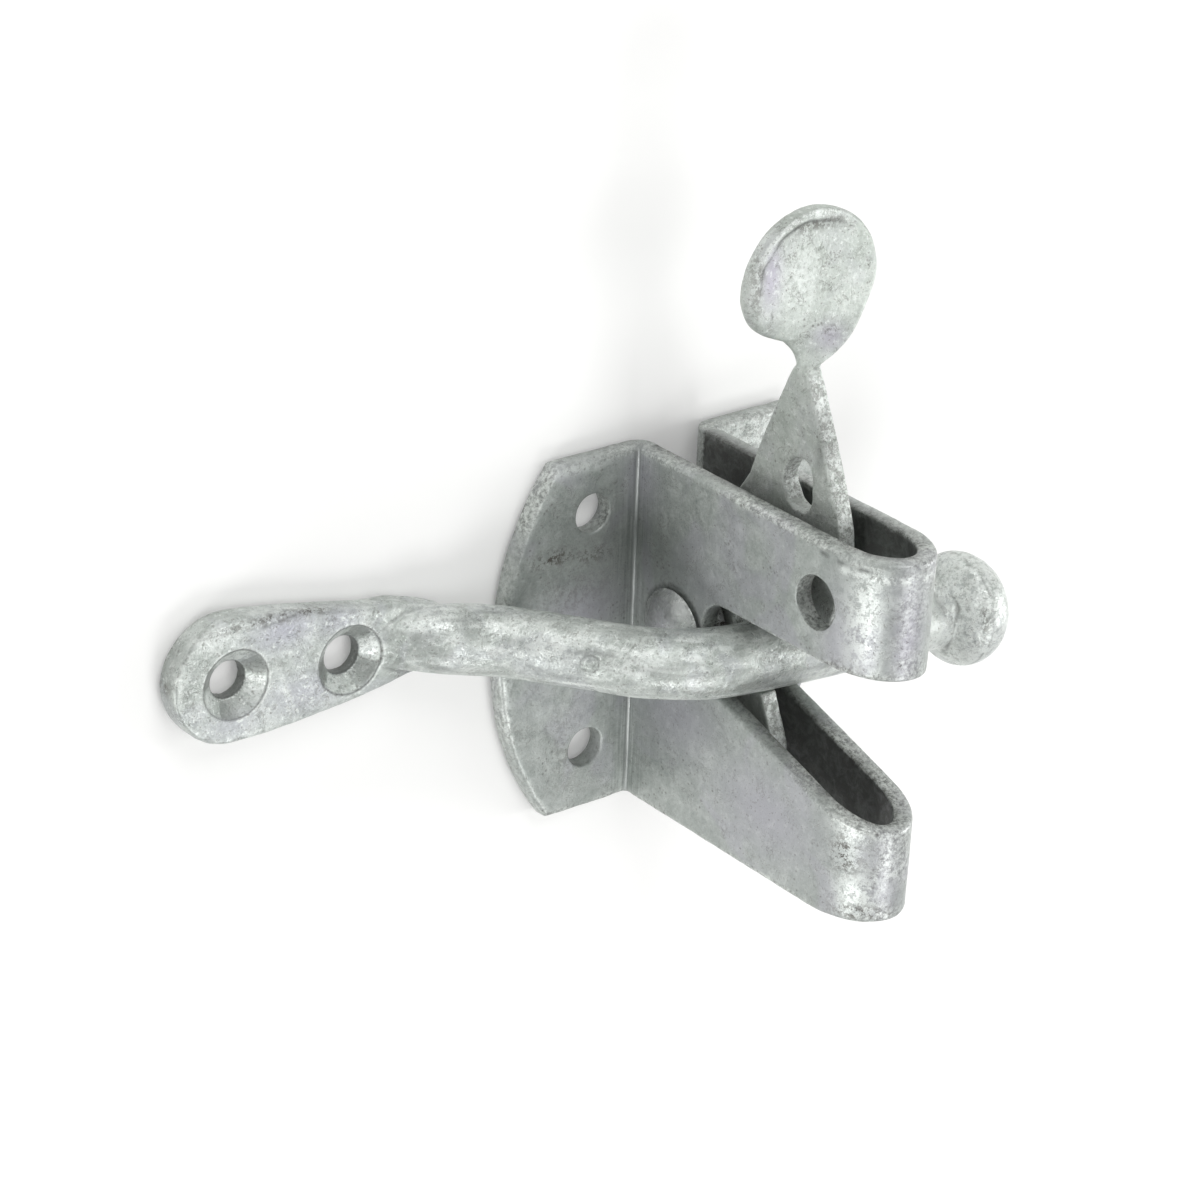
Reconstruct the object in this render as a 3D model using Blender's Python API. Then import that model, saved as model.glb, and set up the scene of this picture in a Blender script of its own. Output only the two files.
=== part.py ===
"""Automatic gate latch, hot-dip galvanised steel.

A strip folded into a U with two screw flanges makes the catch. A lever turns on
a rivet between its walls and hooks over the round bar of a cranked striker.
The fixing face of both halves is the plane y = 0 and the latch stands out along
-Y, with +Z up. The frame's origin is on that plane, at mid-height of the catch,
on the line of the left flange's screw holes. Lengths are in metres.
"""
import math

import bmesh
import bpy
from mathutils import Vector

MM = 0.001

# Fits between pieces
SEAT_GAP = 0.30 * MM
PIN_GAP = 0.20 * MM
NOTCH_GAP = 0.40 * MM

# Catch: one folded strip
STRIP_HEIGHT = 65.0 * MM
STRIP_THICKNESS = 3.4 * MM
SLOT_WIDTH = 9.9 * MM
CATCH_DEPTH = 65.2 * MM
NOSE_LENGTH = 10.0 * MM
NOSE_LEAN = 0.026
FLANGE_REACH = 36.0 * MM
FLANGE_EDGE_RADIUS = 55.0 * MM
FLANGE_BEND_RADIUS = 1.0 * MM
RIM_ROUNDING = 0.6 * MM

# Catch: holes and mouth, heights from the middle of the strip
SCREW_X = 17.5 * MM
SCREW_UPPER = 22.4 * MM
SCREW_LOWER = -21.0 * MM
SCREW_HOLE = 7.4 * MM
PADLOCK_OUT = 49.7 * MM
PADLOCK_UP = 21.6 * MM
PADLOCK_HOLE = 9.2 * MM
MOUTH_BACK = 22.4 * MM
MOUTH_ROOM = 3.6 * MM
MOUTH_TOP_RISE = 0.008
MOUTH_RAMP_UP = -3.1 * MM
MOUTH_RAMP_SLOPE = 0.295
MOUTH_CORNER = 4.6 * MM
MOUTH_TILT = math.radians(3.8)

# Rivet, and the spacer on each side of the lever
RIVET_OUT = 14.5 * MM
RIVET_UP = 3.2 * MM
RIVET_SHANK = 8.0 * MM
RIVET_HEAD = 14.4 * MM
RIVET_HEAD_HEIGHT = 2.7 * MM
RIVET_PEEN = 12.6 * MM
RIVET_PEEN_HEIGHT = 2.2 * MM
SPACER_OUTSIDE = 12.4 * MM

# Lever, as it stands raised, with lengths out and up from the rivet
LEVER_THICKNESS = 3.6 * MM
LEVER_DROP = math.radians(27.7)
LEVER_BOSS = 20.0 * MM
LEVER_FRONT = 32.9 * MM
CAM_TOP_UP = 28.0 * MM
CAM_TOP_BACK = 0.4 * MM
CAM_FRONT_UP = 18.0 * MM
TOOTH_REACH = 9.0 * MM
TOOTH_HEIGHT = 1.6 * MM
TOOTH_BEVEL = 1.4 * MM
SEAT_END = math.radians(282.0)
TOE_FRONT = (19.2 * MM, -15.6 * MM)
TOE_BACK = (8.6 * MM, -20.2 * MM)
TOE_LENGTH = 27.0 * MM
TOE_ANGLE = math.radians(-57.0)
BOSS_START = math.radians(-100.0)
BOSS_END = math.radians(-222.0)
BLADE_FRONT = (28.2 * MM, 39.4 * MM)
BLADE_BACK = (13.0 * MM, 40.0 * MM)
BLADE_BACK_FOOT = (9.4 * MM, 30.4 * MM)
SHOULDER_FRONT = 2.4 * MM
SHOULDER_BACK = 1.4 * MM
NECK_UP = 51.8 * MM
NECK_OUT = 20.3 * MM
NECK_WIDTH = 3.3 * MM
NECK_ROOT = 5.5 * MM
TAB_UP = 66.2 * MM
TAB_OUT = 19.7 * MM
TAB_WIDTH = 27.0 * MM
TAB_RISE = 12.7 * MM
TAB_THICKNESS = 3.5 * MM
TAB_TAPER = 1.2
TAB_LEFT_FALL = 9.8 * MM
TAB_LEFT_TAPER = 2.2
TAB_TWIST = math.radians(75.0)

# Striker: a flat plate drawn out into a cranked round bar with a knob
BAR_DIAMETER = 12.0 * MM
CRANK_STANDOFF = 9.35 * MM
CRANK_ANGLE = math.radians(42.5)
CRANK_OUTER_RADIUS = 28.0 * MM
CRANK_FOOT_RADIUS = 16.0 * MM
PLATE_THICKNESS = 5.0 * MM
PLATE_BLEND = 10.0 * MM
PLATE_LENGTH = 40.75 * MM
PLATE_END_RADIUS = 10.9 * MM
PLATE_NECK_HALF = 7.9 * MM
PLATE_EDGE = 0.8 * MM
PLATE_END_THINNING = 0.22
STRIKER_HOLE_NEAR = 18.6 * MM
STRIKER_HOLE_SPACING = 21.7 * MM
STRIKER_HOLE_BELOW = 0.6 * MM
STRIKER_HOLE = 6.6 * MM
STRIKER_SINK = 11.8 * MM
STRIKER_SINK_DEPTH = 3.2 * MM
STRIKER_TILT = math.radians(2.9)
BAR_SKEW = 0.075
PLATE_SKEW = 0.02
SKEW_EASE = 6.0 * MM
KNOB_NECK = 29.1 * MM
KNOB_DIAMETER = 20.2 * MM
KNOB_LENGTH = 13.3 * MM
KNOB_WIDEST = 0.42
KNOB_FULLNESS = 0.8

# Smoothness
ARC_STEP = math.radians(9.0)
ROUND_SIDES = 40

# Sizes worked out from those above
CATCH_WIDTH = SLOT_WIDTH + 2 * STRIP_THICKNESS
BAR_RADIUS = BAR_DIAMETER / 2
BAR_OUT = MOUTH_BACK + BAR_RADIUS + 1.2 * SEAT_GAP
BAR_SEAT_UP = (MOUTH_RAMP_UP - MOUTH_RAMP_SLOPE * (BAR_OUT - MOUTH_BACK)
               + (BAR_RADIUS + SEAT_GAP) * math.hypot(1.0, MOUTH_RAMP_SLOPE))
BAR_UP = BAR_SEAT_UP + CATCH_WIDTH / 2 * math.tan(STRIKER_TILT)
MOUTH_TOP = BAR_UP + BAR_RADIUS + MOUTH_ROOM
CENTRE = Vector((SCREW_X, 0.0, 0.0))
PIVOT = Vector((SCREW_X, -RIVET_OUT, RIVET_UP))
THROAT = Vector((SCREW_X, -BAR_OUT, BAR_UP))


def clear_scene():
    """Remove everything that the file holds before the latch is modelled."""
    for old in list(bpy.data.objects):
        bpy.data.objects.remove(old, do_unlink=True)


def steel(name, colour, roughness):
    """A zinc-coated steel finish for one piece."""
    material = bpy.data.materials.new(name)
    material.use_nodes = True
    shader = material.node_tree.nodes["Principled BSDF"]
    shader.inputs["Base Color"].default_value = (*colour, 1.0)
    shader.inputs["Metallic"].default_value = 0.85
    shader.inputs["Roughness"].default_value = roughness
    return material


def make_object(name, bm, place, material=None):
    """Turn a bmesh into an object whose mesh is measured from its place."""
    bmesh.ops.recalc_face_normals(bm, faces=bm.faces)
    mesh = bpy.data.meshes.new(name)
    bm.to_mesh(mesh)
    bm.free()
    mesh.shade_smooth()
    mesh.set_sharp_from_angle(angle=math.radians(35.0))
    made = bpy.data.objects.new(name, mesh)
    made.location = place
    bpy.context.scene.collection.objects.link(made)
    if material:
        mesh.materials.append(material)
    return made


def combine(target, tool, operation):
    """Cut the tool out of the target, or join or cross the two."""
    change = target.modifiers.new(tool.name, "BOOLEAN")
    change.operation = operation
    change.solver = "EXACT"
    change.object = tool
    tool.hide_render = True
    tool.display_type = "WIRE"


def arc(centre, radius, start, end, step=ARC_STEP):
    """Points along a circle from one angle to another, both ends included."""
    count = max(2, math.ceil(abs(end - start) / step))
    angles = [start + (end - start) * i / count for i in range(count + 1)]
    return [(centre[0] + radius * math.cos(a), centre[1] + radius * math.sin(a))
            for a in angles]


def arc_through(first, middle, last):
    """Points of the circular arc through three points."""
    (ax, ay), (bx, by), (cx, cy) = first, middle, last
    twice = 2 * (ax * (by - cy) + bx * (cy - ay) + cx * (ay - by))
    a2, b2, c2 = ax * ax + ay * ay, bx * bx + by * by, cx * cx + cy * cy
    centre = ((a2 * (by - cy) + b2 * (cy - ay) + c2 * (ay - by)) / twice,
              (a2 * (cx - bx) + b2 * (ax - cx) + c2 * (bx - ax)) / twice)
    start = math.atan2(ay - centre[1], ax - centre[0])
    end = math.atan2(cy - centre[1], cx - centre[0])
    turn = math.remainder(end - start, 2 * math.pi)
    return arc(centre, math.hypot(ax - centre[0], ay - centre[1]), start, start + turn)


def fillet(before, corner, after, radius):
    """Points that round a corner of an outline to a radius."""
    inward = (Vector(before) - Vector(corner)).normalized()
    outward = (Vector(after) - Vector(corner)).normalized()
    half = inward.angle(outward) / 2
    centre = Vector(corner) + (inward + outward).normalized() * radius / math.sin(half)
    first = Vector(corner) + inward * radius / math.tan(half) - centre
    last = Vector(corner) + outward * radius / math.tan(half) - centre
    start = math.atan2(first.y, first.x)
    turn = math.remainder(math.atan2(last.y, last.x) - start, 2 * math.pi)
    return arc(centre, radius, start, start + turn)


def prism(outline, axis, start, end):
    """Extrude an outline along an axis; its points are the two other coordinates."""
    order = {"X": lambda u, v, w: (w, u, v), "Y": lambda u, v, w: (u, w, v),
             "Z": lambda u, v, w: (u, v, w)}[axis]
    bm = bmesh.new()
    face = bm.faces.new([bm.verts.new(order(u, v, start)) for u, v in outline])
    grown = bmesh.ops.extrude_face_region(bm, geom=[face])["geom"]
    verts = [item for item in grown if isinstance(item, bmesh.types.BMVert)]
    bmesh.ops.translate(bm, verts=verts, vec=Vector(order(0, 0, end)) - Vector(order(0, 0, start)))
    return bm


def round_rims(bm, axis, width):
    """Round the edges between a prism's two flat faces and its sides."""
    index = "XYZ".index(axis)
    rims = [edge for edge in bm.edges
            if abs(edge.verts[0].co[index] - edge.verts[1].co[index]) < 1e-7]
    bmesh.ops.bevel(bm, geom=rims, offset=width, segments=2, profile=0.5, affect="EDGES")


def turned(profile, axis, sides=ROUND_SIDES):
    """Turn a profile of (along, radius) points about the X or the Y axis."""
    bm = bmesh.new()
    rings = []
    for along, radius in profile:
        ring = []
        for i in range(sides if radius > 0 else 1):
            angle = 2 * math.pi * i / sides
            across, up = radius * math.cos(angle), radius * math.sin(angle)
            ring.append(bm.verts.new((along, across, up) if axis == "X" else (across, along, up)))
        rings.append(ring)
    closed = profile[0][1] > 0
    pairs = list(zip(rings, rings[1:] + rings[:1] if closed else rings[1:]))
    for first, second in pairs:
        for i in range(sides):
            j = (i + 1) % sides
            corners = [first[i % len(first)], first[j % len(first)],
                       second[j % len(second)], second[i % len(second)]]
            bm.faces.new(list(dict.fromkeys(corners)))
    return bm


def lofted(rings):
    """Join rings of equally many points into one closed skin."""
    bm = bmesh.new()
    made = [[bm.verts.new(point) for point in ring] for ring in rings]
    for first, second in zip(made, made[1:]):
        for i in range(len(first)):
            j = (i + 1) % len(first)
            bm.faces.new((first[i], first[j], second[j], second[i]))
    bm.faces.new(made[0])
    bm.faces.new(made[-1])
    return bm


def rounded_section(half_width, half_depth, corner, per_corner=8):
    """A rounded rectangle, or a circle where the corner is as large as both halves."""
    points = []
    for quarter in range(4):
        for i in range(per_corner):
            angle = (quarter + (i + 0.5) / per_corner) * math.pi / 2
            cos, sin = math.cos(angle), math.sin(angle)
            points.append(((half_width - corner) * math.copysign(1, cos) + corner * cos,
                           (half_depth - corner) * math.copysign(1, sin) + corner * sin))
    widest = max(u for u, v in points)
    deepest = max(v for u, v in points)
    return [(u * half_width / widest, v * half_depth / deepest) for u, v in points]


def smooth_step(value):
    """Ease from 0 to 1 as the value goes from 0 to 1."""
    value = min(max(value, 0.0), 1.0)
    return value * value * (3 - 2 * value)


def nose_bend(offset):
    """Points along the strip's drawn-out front bend, a distance outside its middle line."""
    across = (SLOT_WIDTH + STRIP_THICKNESS) / 2
    start = -(CATCH_DEPTH - STRIP_THICKNESS / 2 - NOSE_LENGTH)
    count = math.ceil(math.pi / ARC_STEP)
    points = []
    for i in range(count + 1):
        cos, sin = math.cos(math.pi * i / count), math.sin(math.pi * i / count)
        normal = Vector((cos / across, -sin / NOSE_LENGTH)).normalized()
        points.append((across * cos + normal.x * offset,
                       start - NOSE_LENGTH * sin + normal.y * offset))
    return points


def strip_outline():
    """The folded strip seen from above: flange, wall, nose, wall, flange."""
    inner_bend = FLANGE_BEND_RADIUS
    outer_bend = inner_bend + STRIP_THICKNESS
    half_strip = STRIP_THICKNESS / 2
    bend = (CATCH_WIDTH / 2 + inner_bend, -(STRIP_THICKNESS + inner_bend))
    quarter = math.pi / 2
    right_outer = [(FLANGE_REACH, -STRIP_THICKNESS)] + arc(bend, inner_bend, quarter, 2 * quarter)
    right_inner = arc(bend, outer_bend, 2 * quarter, quarter) + [(FLANGE_REACH, 0.0)]
    left_outer = [(-x, y) for x, y in reversed(right_outer)]
    left_inner = [(-x, y) for x, y in reversed(right_inner)]
    outer_nose = nose_bend(half_strip)
    inner_nose = list(reversed(nose_bend(-half_strip)))
    return right_outer + outer_nose + left_outer + left_inner + inner_nose + right_inner


def flange_trim():
    """The barrel-shaped outline of the strip's two ends, seen from the front."""
    half_height = STRIP_HEIGHT / 2
    spread = math.asin(min(half_height / FLANGE_EDGE_RADIUS, 1.0))
    right = arc((FLANGE_REACH - FLANGE_EDGE_RADIUS, 0.0), FLANGE_EDGE_RADIUS,
                -spread, spread, math.radians(4.0))
    return right + [(-x, z) for x, z in reversed(right)]


def mouth_outline():
    """The throat and mouth cut through both walls and the nose, in (y, z)."""
    far = -(CATCH_DEPTH + 2 * STRIP_THICKNESS)
    rise = -(far + MOUTH_BACK) * MOUTH_TOP_RISE
    drop = -(far + MOUTH_BACK) * MOUTH_RAMP_SLOPE
    top_front = (far, MOUTH_TOP + rise)
    top_back = (-MOUTH_BACK, MOUTH_TOP)
    ramp_back = (-MOUTH_BACK, MOUTH_RAMP_UP)
    ramp_front = (far, MOUTH_RAMP_UP - drop)
    return ([top_front] + fillet(top_front, top_back, ramp_back, MOUTH_CORNER)
            + fillet(top_back, ramp_back, ramp_front, MOUTH_CORNER) + [ramp_front])


def drill(target, place, axis, profile):
    """Cut a turned hole in a piece; the profile runs along the axis from the place."""
    number = len(target.modifiers) + 1
    tool = make_object(f"{target.name}_cut_{number}", turned(profile, axis), place)
    combine(target, tool, "DIFFERENCE")


def straight_hole(diameter, reach):
    """The profile of a drill that goes right through from both sides."""
    return [(-reach, 0.0), (-reach, diameter / 2), (reach, diameter / 2), (reach, 0.0)]


def make_catch(material):
    """The catch: the strip folded, trimmed, slotted and punched, rims rounded."""
    half_height = STRIP_HEIGHT / 2
    folded = prism(strip_outline(), "Z", -half_height, half_height)
    for vert in folded.verts:
        if vert.co.y < -CATCH_DEPTH / 2:
            vert.co.y += NOSE_LEAN * (half_height - vert.co.z)
    catch = make_object("catch_body", folded, CENTRE, material)
    trim = make_object("flange_trim", prism(flange_trim(), "Y", -2 * CATCH_DEPTH, CATCH_DEPTH), CENTRE)
    combine(catch, trim, "INTERSECT")
    left_face = CENTRE - Vector((CATCH_WIDTH / 2, 0.0, 0.0))
    mouth = make_object("mouth_cut", prism(mouth_outline(), "X", -CATCH_WIDTH, 2 * CATCH_WIDTH), left_face)
    mouth.rotation_euler = (0.0, MOUTH_TILT, 0.0)
    combine(catch, mouth, "DIFFERENCE")
    drill(catch, PIVOT, "X", straight_hole(RIVET_SHANK + 2 * PIN_GAP, CATCH_WIDTH))
    padlock = CENTRE + Vector((0.0, -PADLOCK_OUT, PADLOCK_UP))
    drill(catch, padlock, "X", straight_hole(PADLOCK_HOLE, CATCH_WIDTH))
    for side in (-SCREW_X, SCREW_X):
        for height in (SCREW_UPPER, SCREW_LOWER):
            place = CENTRE + Vector((side, 0.0, height))
            drill(catch, place, "Y", straight_hole(SCREW_HOLE, 3 * STRIP_THICKNESS))
    rims = catch.modifiers.new("rounded_rims", "BEVEL")
    rims.width = RIM_ROUNDING
    rims.segments = 1
    rims.limit_method = "ANGLE"
    rims.angle_limit = math.radians(50.0)
    return catch


def dome(face, height, diameter, steps=5):
    """The profile of a rivet's low round head, from its seat to its crown."""
    direction = math.copysign(1.0, height)
    edge = 0.25 * abs(height)
    crown = abs(height) - edge
    points = [(face, diameter / 2)]
    for i in range(steps + 1):
        angle = math.pi / 2 * i / steps
        points.append((face + direction * (edge + crown * math.sin(angle)),
                       diameter / 2 * math.cos(angle) if i < steps else 0.0))
    return points


def make_rivet(material):
    """The rivet: a domed head on the left, a shank, and a peened right end."""
    seat = CATCH_WIDTH / 2 + SEAT_GAP / 2
    shank = RIVET_SHANK / 2
    head = dome(-seat, -RIVET_HEAD_HEIGHT, RIVET_HEAD)
    peen = dome(seat, RIVET_PEEN_HEIGHT, RIVET_PEEN)
    profile = list(reversed(head)) + [(-seat, shank), (seat, shank)] + peen
    return make_object("rivet", turned(profile, "X"), PIVOT, material)


def make_spacer(name, side, material):
    """A plain ring that fills the slot between one wall and the lever."""
    near = LEVER_THICKNESS / 2 + SEAT_GAP
    far = SLOT_WIDTH / 2 - SEAT_GAP
    bore, outside = RIVET_SHANK / 2 + PIN_GAP, SPACER_OUTSIDE / 2
    profile = [(side * near, bore), (side * near, outside), (side * far, outside), (side * far, bore)]
    return make_object(name, turned(profile, "X"), PIVOT, material)


def lever_outline():
    """The lever's blade in (out, up) from the rivet, as it stands raised."""
    bar = (BAR_OUT - RIVET_OUT, BAR_UP - RIVET_UP)
    bar_reach = math.hypot(*bar)
    bar_angle = math.atan2(bar[1], bar[0])
    clear = BAR_RADIUS + NOTCH_GAP
    outer, inner = bar_reach + clear, bar_reach - clear
    channel_top = bar[1] + clear
    slot_end = bar_angle + LEVER_DROP
    end_centre = (bar_reach * math.cos(slot_end), bar_reach * math.sin(slot_end))
    tooth_inside = math.asin(channel_top / outer)

    neck_front = (NECK_OUT + NECK_WIDTH / 2, NECK_UP - SHOULDER_FRONT)
    neck_back = (NECK_OUT - NECK_WIDTH / 2, NECK_UP - SHOULDER_BACK)
    cam_top = (LEVER_FRONT - CAM_TOP_BACK, CAM_TOP_UP)
    tooth_front = (outer + TOOTH_REACH, channel_top + TOOTH_HEIGHT)
    tooth_tip = (tooth_front[0] - TOOTH_BEVEL, channel_top)
    toe_end = (TOE_LENGTH * math.cos(TOE_ANGLE), TOE_LENGTH * math.sin(TOE_ANGLE))

    front = arc_through(neck_front, BLADE_FRONT, cam_top)
    cam = arc_through(cam_top, (LEVER_FRONT, CAM_FRONT_UP), tooth_front)
    slot_outside = arc((0, 0), outer, tooth_inside, slot_end)
    slot_cap = arc(end_centre, clear, slot_end, slot_end + math.pi)
    slot_inside = arc((0, 0), inner, slot_end, bar_angle)
    bar_seat = arc(bar, clear, bar_angle + math.pi, SEAT_END)
    toe = arc_through(TOE_FRONT, toe_end, TOE_BACK)
    boss_back = arc((0, 0), LEVER_BOSS / 2, BOSS_START, BOSS_END)
    back = arc_through(BLADE_BACK_FOOT, BLADE_BACK, neck_back)
    return (front + cam[1:] + [tooth_tip] + slot_outside + slot_cap[1:] + slot_inside[1:]
            + bar_seat[1:] + toe + boss_back + back)


def tab_reaches(up):
    """How far the lever reaches left and right at a height: neck, flare, then a
    round top. Its left side is rounder below, and its right one a longer flare."""
    widest, neck = TAB_WIDTH / 2, NECK_WIDTH / 2
    if up >= TAB_UP:
        reach = widest * math.sqrt(max(1 - ((up - TAB_UP) / TAB_RISE) ** 2, 0.0))
        return reach, reach
    share = min(max((TAB_UP - up) / (TAB_UP - NECK_UP), 0.0), 1.0)
    flare = math.cos(share * math.pi / 2)
    belly = widest * math.sqrt(max(1 - ((TAB_UP - up) / TAB_LEFT_FALL) ** 2, 0.0))
    return (max(belly, neck + (widest - neck) * flare ** TAB_LEFT_TAPER),
            neck + (widest - neck) * flare ** TAB_TAPER)


def tab_rings():
    """Sections of the neck and the thumb tab, twisted out of the blade's plane."""
    root = NECK_UP - NECK_ROOT
    root_steps, flare_steps, round_steps = 4, 10, 12
    heights = [root + NECK_ROOT * i / root_steps for i in range(root_steps)]
    heights += [NECK_UP + (TAB_UP - NECK_UP) * i / flare_steps for i in range(flare_steps)]
    heights += [TAB_UP + TAB_RISE * math.sin(math.pi / 2 * i / round_steps)
                for i in range(round_steps)]
    heights.append(TAB_UP + TAB_RISE * 0.998)
    rings = []
    for up in heights:
        climb = min(max((up - NECK_UP) / (TAB_UP - NECK_UP), 0.0), 1.0)
        share = smooth_step(climb)
        out = NECK_OUT + (TAB_OUT - NECK_OUT) * share
        half_depth = (NECK_WIDTH + (TAB_THICKNESS - NECK_WIDTH) * share) / 2
        left, right = tab_reaches(up)
        half_width, shift = (right + left) / 2, (right - left) / 2
        if up < NECK_UP:
            sink = (NECK_UP - up) / NECK_ROOT
            half_width *= 1 - 0.15 * sink
            half_depth *= 1 - 0.35 * sink
        twist = TAB_TWIST * (1 - climb) ** 3
        cos, sin = math.cos(twist), math.sin(twist)
        corner = 0.8 * min(half_width, half_depth)
        rings.append([((u + shift) * cos - v * sin, -(out + (u + shift) * sin + v * cos), up)
                      for u, v in rounded_section(half_width, half_depth, corner, 5)])
    return rings


def make_lever(material):
    """The lever: blade, notch, padlock hole, neck and thumb tab in one piece."""
    half = LEVER_THICKNESS / 2
    outline = [(-out, up) for out, up in lever_outline()]
    blade = prism(outline, "X", -half, half)
    round_rims(blade, "X", RIM_ROUNDING)
    lever = make_object("lever", blade, PIVOT, material)
    tab = make_object("thumb_tab_join", lofted(tab_rings()), PIVOT)
    combine(lever, tab, "UNION")
    drill(lever, PIVOT, "X", straight_hole(RIVET_SHANK + 2 * PIN_GAP, SLOT_WIDTH))
    out, up = PADLOCK_OUT - RIVET_OUT, PADLOCK_UP - RIVET_UP
    reach, angle = math.hypot(out, up), math.atan2(up, out) + LEVER_DROP
    hole = PIVOT + Vector((0.0, -reach * math.cos(angle), reach * math.sin(angle)))
    drill(lever, hole, "X", straight_hole(PADLOCK_HOLE, SLOT_WIDTH))
    return lever


def striker_path():
    """Stations along the striker from its plate end to its knob.

    Each is (x, out, turn, half height, half depth, edge rounding), where x and
    out are measured from the bar's middle in the throat, out towards the wall
    is positive, and turn is the crank's angle there.
    """
    corner = -(CATCH_WIDTH / 2 + CRANK_STANDOFF)
    lift = BAR_OUT - BAR_RADIUS
    foot = corner - lift / math.tan(CRANK_ANGLE)
    outer_run = CRANK_OUTER_RADIUS * math.tan(CRANK_ANGLE / 2)
    foot_run = CRANK_FOOT_RADIUS * math.tan(CRANK_ANGLE / 2)
    blend_end = foot - foot_run
    blend_start = blend_end - PLATE_BLEND
    end_centre = blend_start - PLATE_LENGTH + PLATE_BLEND
    circle = (BAR_RADIUS, BAR_RADIUS, BAR_RADIUS)
    stations = []

    def plate_half(x):
        """Half the plate's height, from the round end to the bar."""
        share = smooth_step((x - end_centre) / (blend_start - end_centre))
        return PLATE_END_RADIUS + (PLATE_NECK_HALF - PLATE_END_RADIUS) * share

    def add(x, out, turn, half_height, half_depth, rounding):
        stations.append((x, out, turn, half_height, half_depth, rounding))

    half_plate = PLATE_THICKNESS / 2
    end_steps = 12
    for i in range(1, end_steps):
        angle = math.pi / 2 * i / end_steps
        x = end_centre - PLATE_END_RADIUS * math.cos(angle)
        depth = half_plate * (1 - PLATE_END_THINNING * (1 - math.sin(angle)) ** 3)
        add(x, BAR_OUT - depth, 0.0, PLATE_END_RADIUS * math.sin(angle), depth, PLATE_EDGE)
    plate_steps = 8
    for i in range(plate_steps + 1):
        x = end_centre + (blend_start - end_centre) * i / plate_steps
        add(x, BAR_OUT - half_plate, 0.0, plate_half(x), half_plate, PLATE_EDGE)
    blend_steps = 7
    for i in range(1, blend_steps + 1):
        share = i / blend_steps
        x = blend_start + PLATE_BLEND * share
        height = PLATE_NECK_HALF + (BAR_RADIUS - PLATE_NECK_HALF) * smooth_step(share)
        depth = half_plate + (BAR_RADIUS - half_plate) * smooth_step(share * 1.15 - 0.15)
        rounding = PLATE_EDGE + (min(height, depth) - PLATE_EDGE) * smooth_step(share * 1.4)
        add(x, BAR_OUT - depth, 0.0, height, depth, rounding)
    steps = 6
    for i in range(1, steps + 1):
        turn = CRANK_ANGLE * i / steps
        x = blend_end + CRANK_FOOT_RADIUS * math.sin(turn)
        add(x, lift - CRANK_FOOT_RADIUS * (1 - math.cos(turn)), turn, *circle)
    for i in range(steps + 1):
        turn = CRANK_ANGLE * (1 - i / steps)
        x = corner + outer_run - CRANK_OUTER_RADIUS * math.sin(turn)
        add(x, CRANK_OUTER_RADIUS * (1 - math.cos(turn)), turn, *circle)
    return stations, blend_start


def knob_stations():
    """The straight bar after the crank, and the knob turned on its end."""
    neck = CATCH_WIDTH / 2 + KNOB_NECK
    knob_half = KNOB_DIAMETER / 2
    widest = neck + KNOB_LENGTH * KNOB_WIDEST
    end = neck + KNOB_LENGTH
    radii = [(CATCH_WIDTH / 2, BAR_RADIUS), (neck, BAR_RADIUS)]
    flare_steps, round_steps = 5, 8
    for i in range(1, flare_steps + 1):
        share = i / flare_steps
        radii.append((neck + (widest - neck) * share,
                      BAR_RADIUS + (knob_half - BAR_RADIUS) * math.sin(share * math.pi / 2) ** KNOB_FULLNESS))
    for i in range(1, round_steps + 1):
        angle = math.pi / 2 * i / (round_steps + 0.4)
        radii.append((widest + (end - widest) * math.sin(angle), knob_half * math.cos(angle)))
    return [(x, 0.0, 0.0, r, r, r) for x, r in radii]


def striker_rise(x, blend_start):
    """How far the striker's axis rises towards its plate, which is set a little skew."""
    bend = CATCH_WIDTH / 4
    rise = BAR_SKEW * SKEW_EASE * math.log1p(math.exp((bend - x) / SKEW_EASE))
    return rise - (BAR_SKEW - PLATE_SKEW) * max(blend_start - x, 0.0)


def make_striker(material):
    """The striker: plate, crank, bar and knob forged in one, with sunk holes."""
    stations, blend_start = striker_path()
    base = striker_rise(0.0, blend_start)
    rings = []
    for x, out, turn, half_height, half_depth, rounding in stations + knob_stations():
        rise = striker_rise(x, blend_start) - base
        across = Vector((math.sin(turn), math.cos(turn), 0.0))
        middle = Vector((x, out, rise))
        rings.append([middle + across * v + Vector((0, 0, 1)) * u
                      for u, v in rounded_section(half_height, half_depth, rounding)])
    striker = make_object("striker", lofted(rings), THROAT, material)
    striker.rotation_euler = (0.0, STRIKER_TILT, 0.0)
    corner_x = blend_start + PLATE_BLEND
    sink = STRIKER_SINK / 2
    hole = STRIKER_HOLE / 2
    face = BAR_OUT - PLATE_THICKNESS
    spill = PLATE_THICKNESS / 2
    lip = sink + spill * (sink - hole) / STRIKER_SINK_DEPTH
    profile = [(face - spill, 0.0), (face - spill, lip), (face + STRIKER_SINK_DEPTH, hole),
               (BAR_OUT + spill, hole), (BAR_OUT + spill, 0.0)]
    for i in range(2):
        x = corner_x - STRIKER_HOLE_NEAR - i * STRIKER_HOLE_SPACING
        rise = striker_rise(x, blend_start) - base - STRIKER_HOLE_BELOW
        drill(striker, Vector((x, 0.0, rise)), "Y", profile)
        striker.modifiers[-1].object.parent = striker
    return striker


def main():
    clear_scene()
    fastener = steel("rivet_zinc", (0.58, 0.60, 0.60), 0.45)
    make_catch(steel("strip_zinc", (0.60, 0.62, 0.62), 0.50))
    make_rivet(fastener)
    make_spacer("spacer_left", -1, fastener)
    make_spacer("spacer_right", 1, fastener)
    make_lever(steel("lever_zinc", (0.66, 0.69, 0.67), 0.45))
    make_striker(steel("striker_zinc", (0.64, 0.66, 0.66), 0.42))


main()
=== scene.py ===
import math

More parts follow.
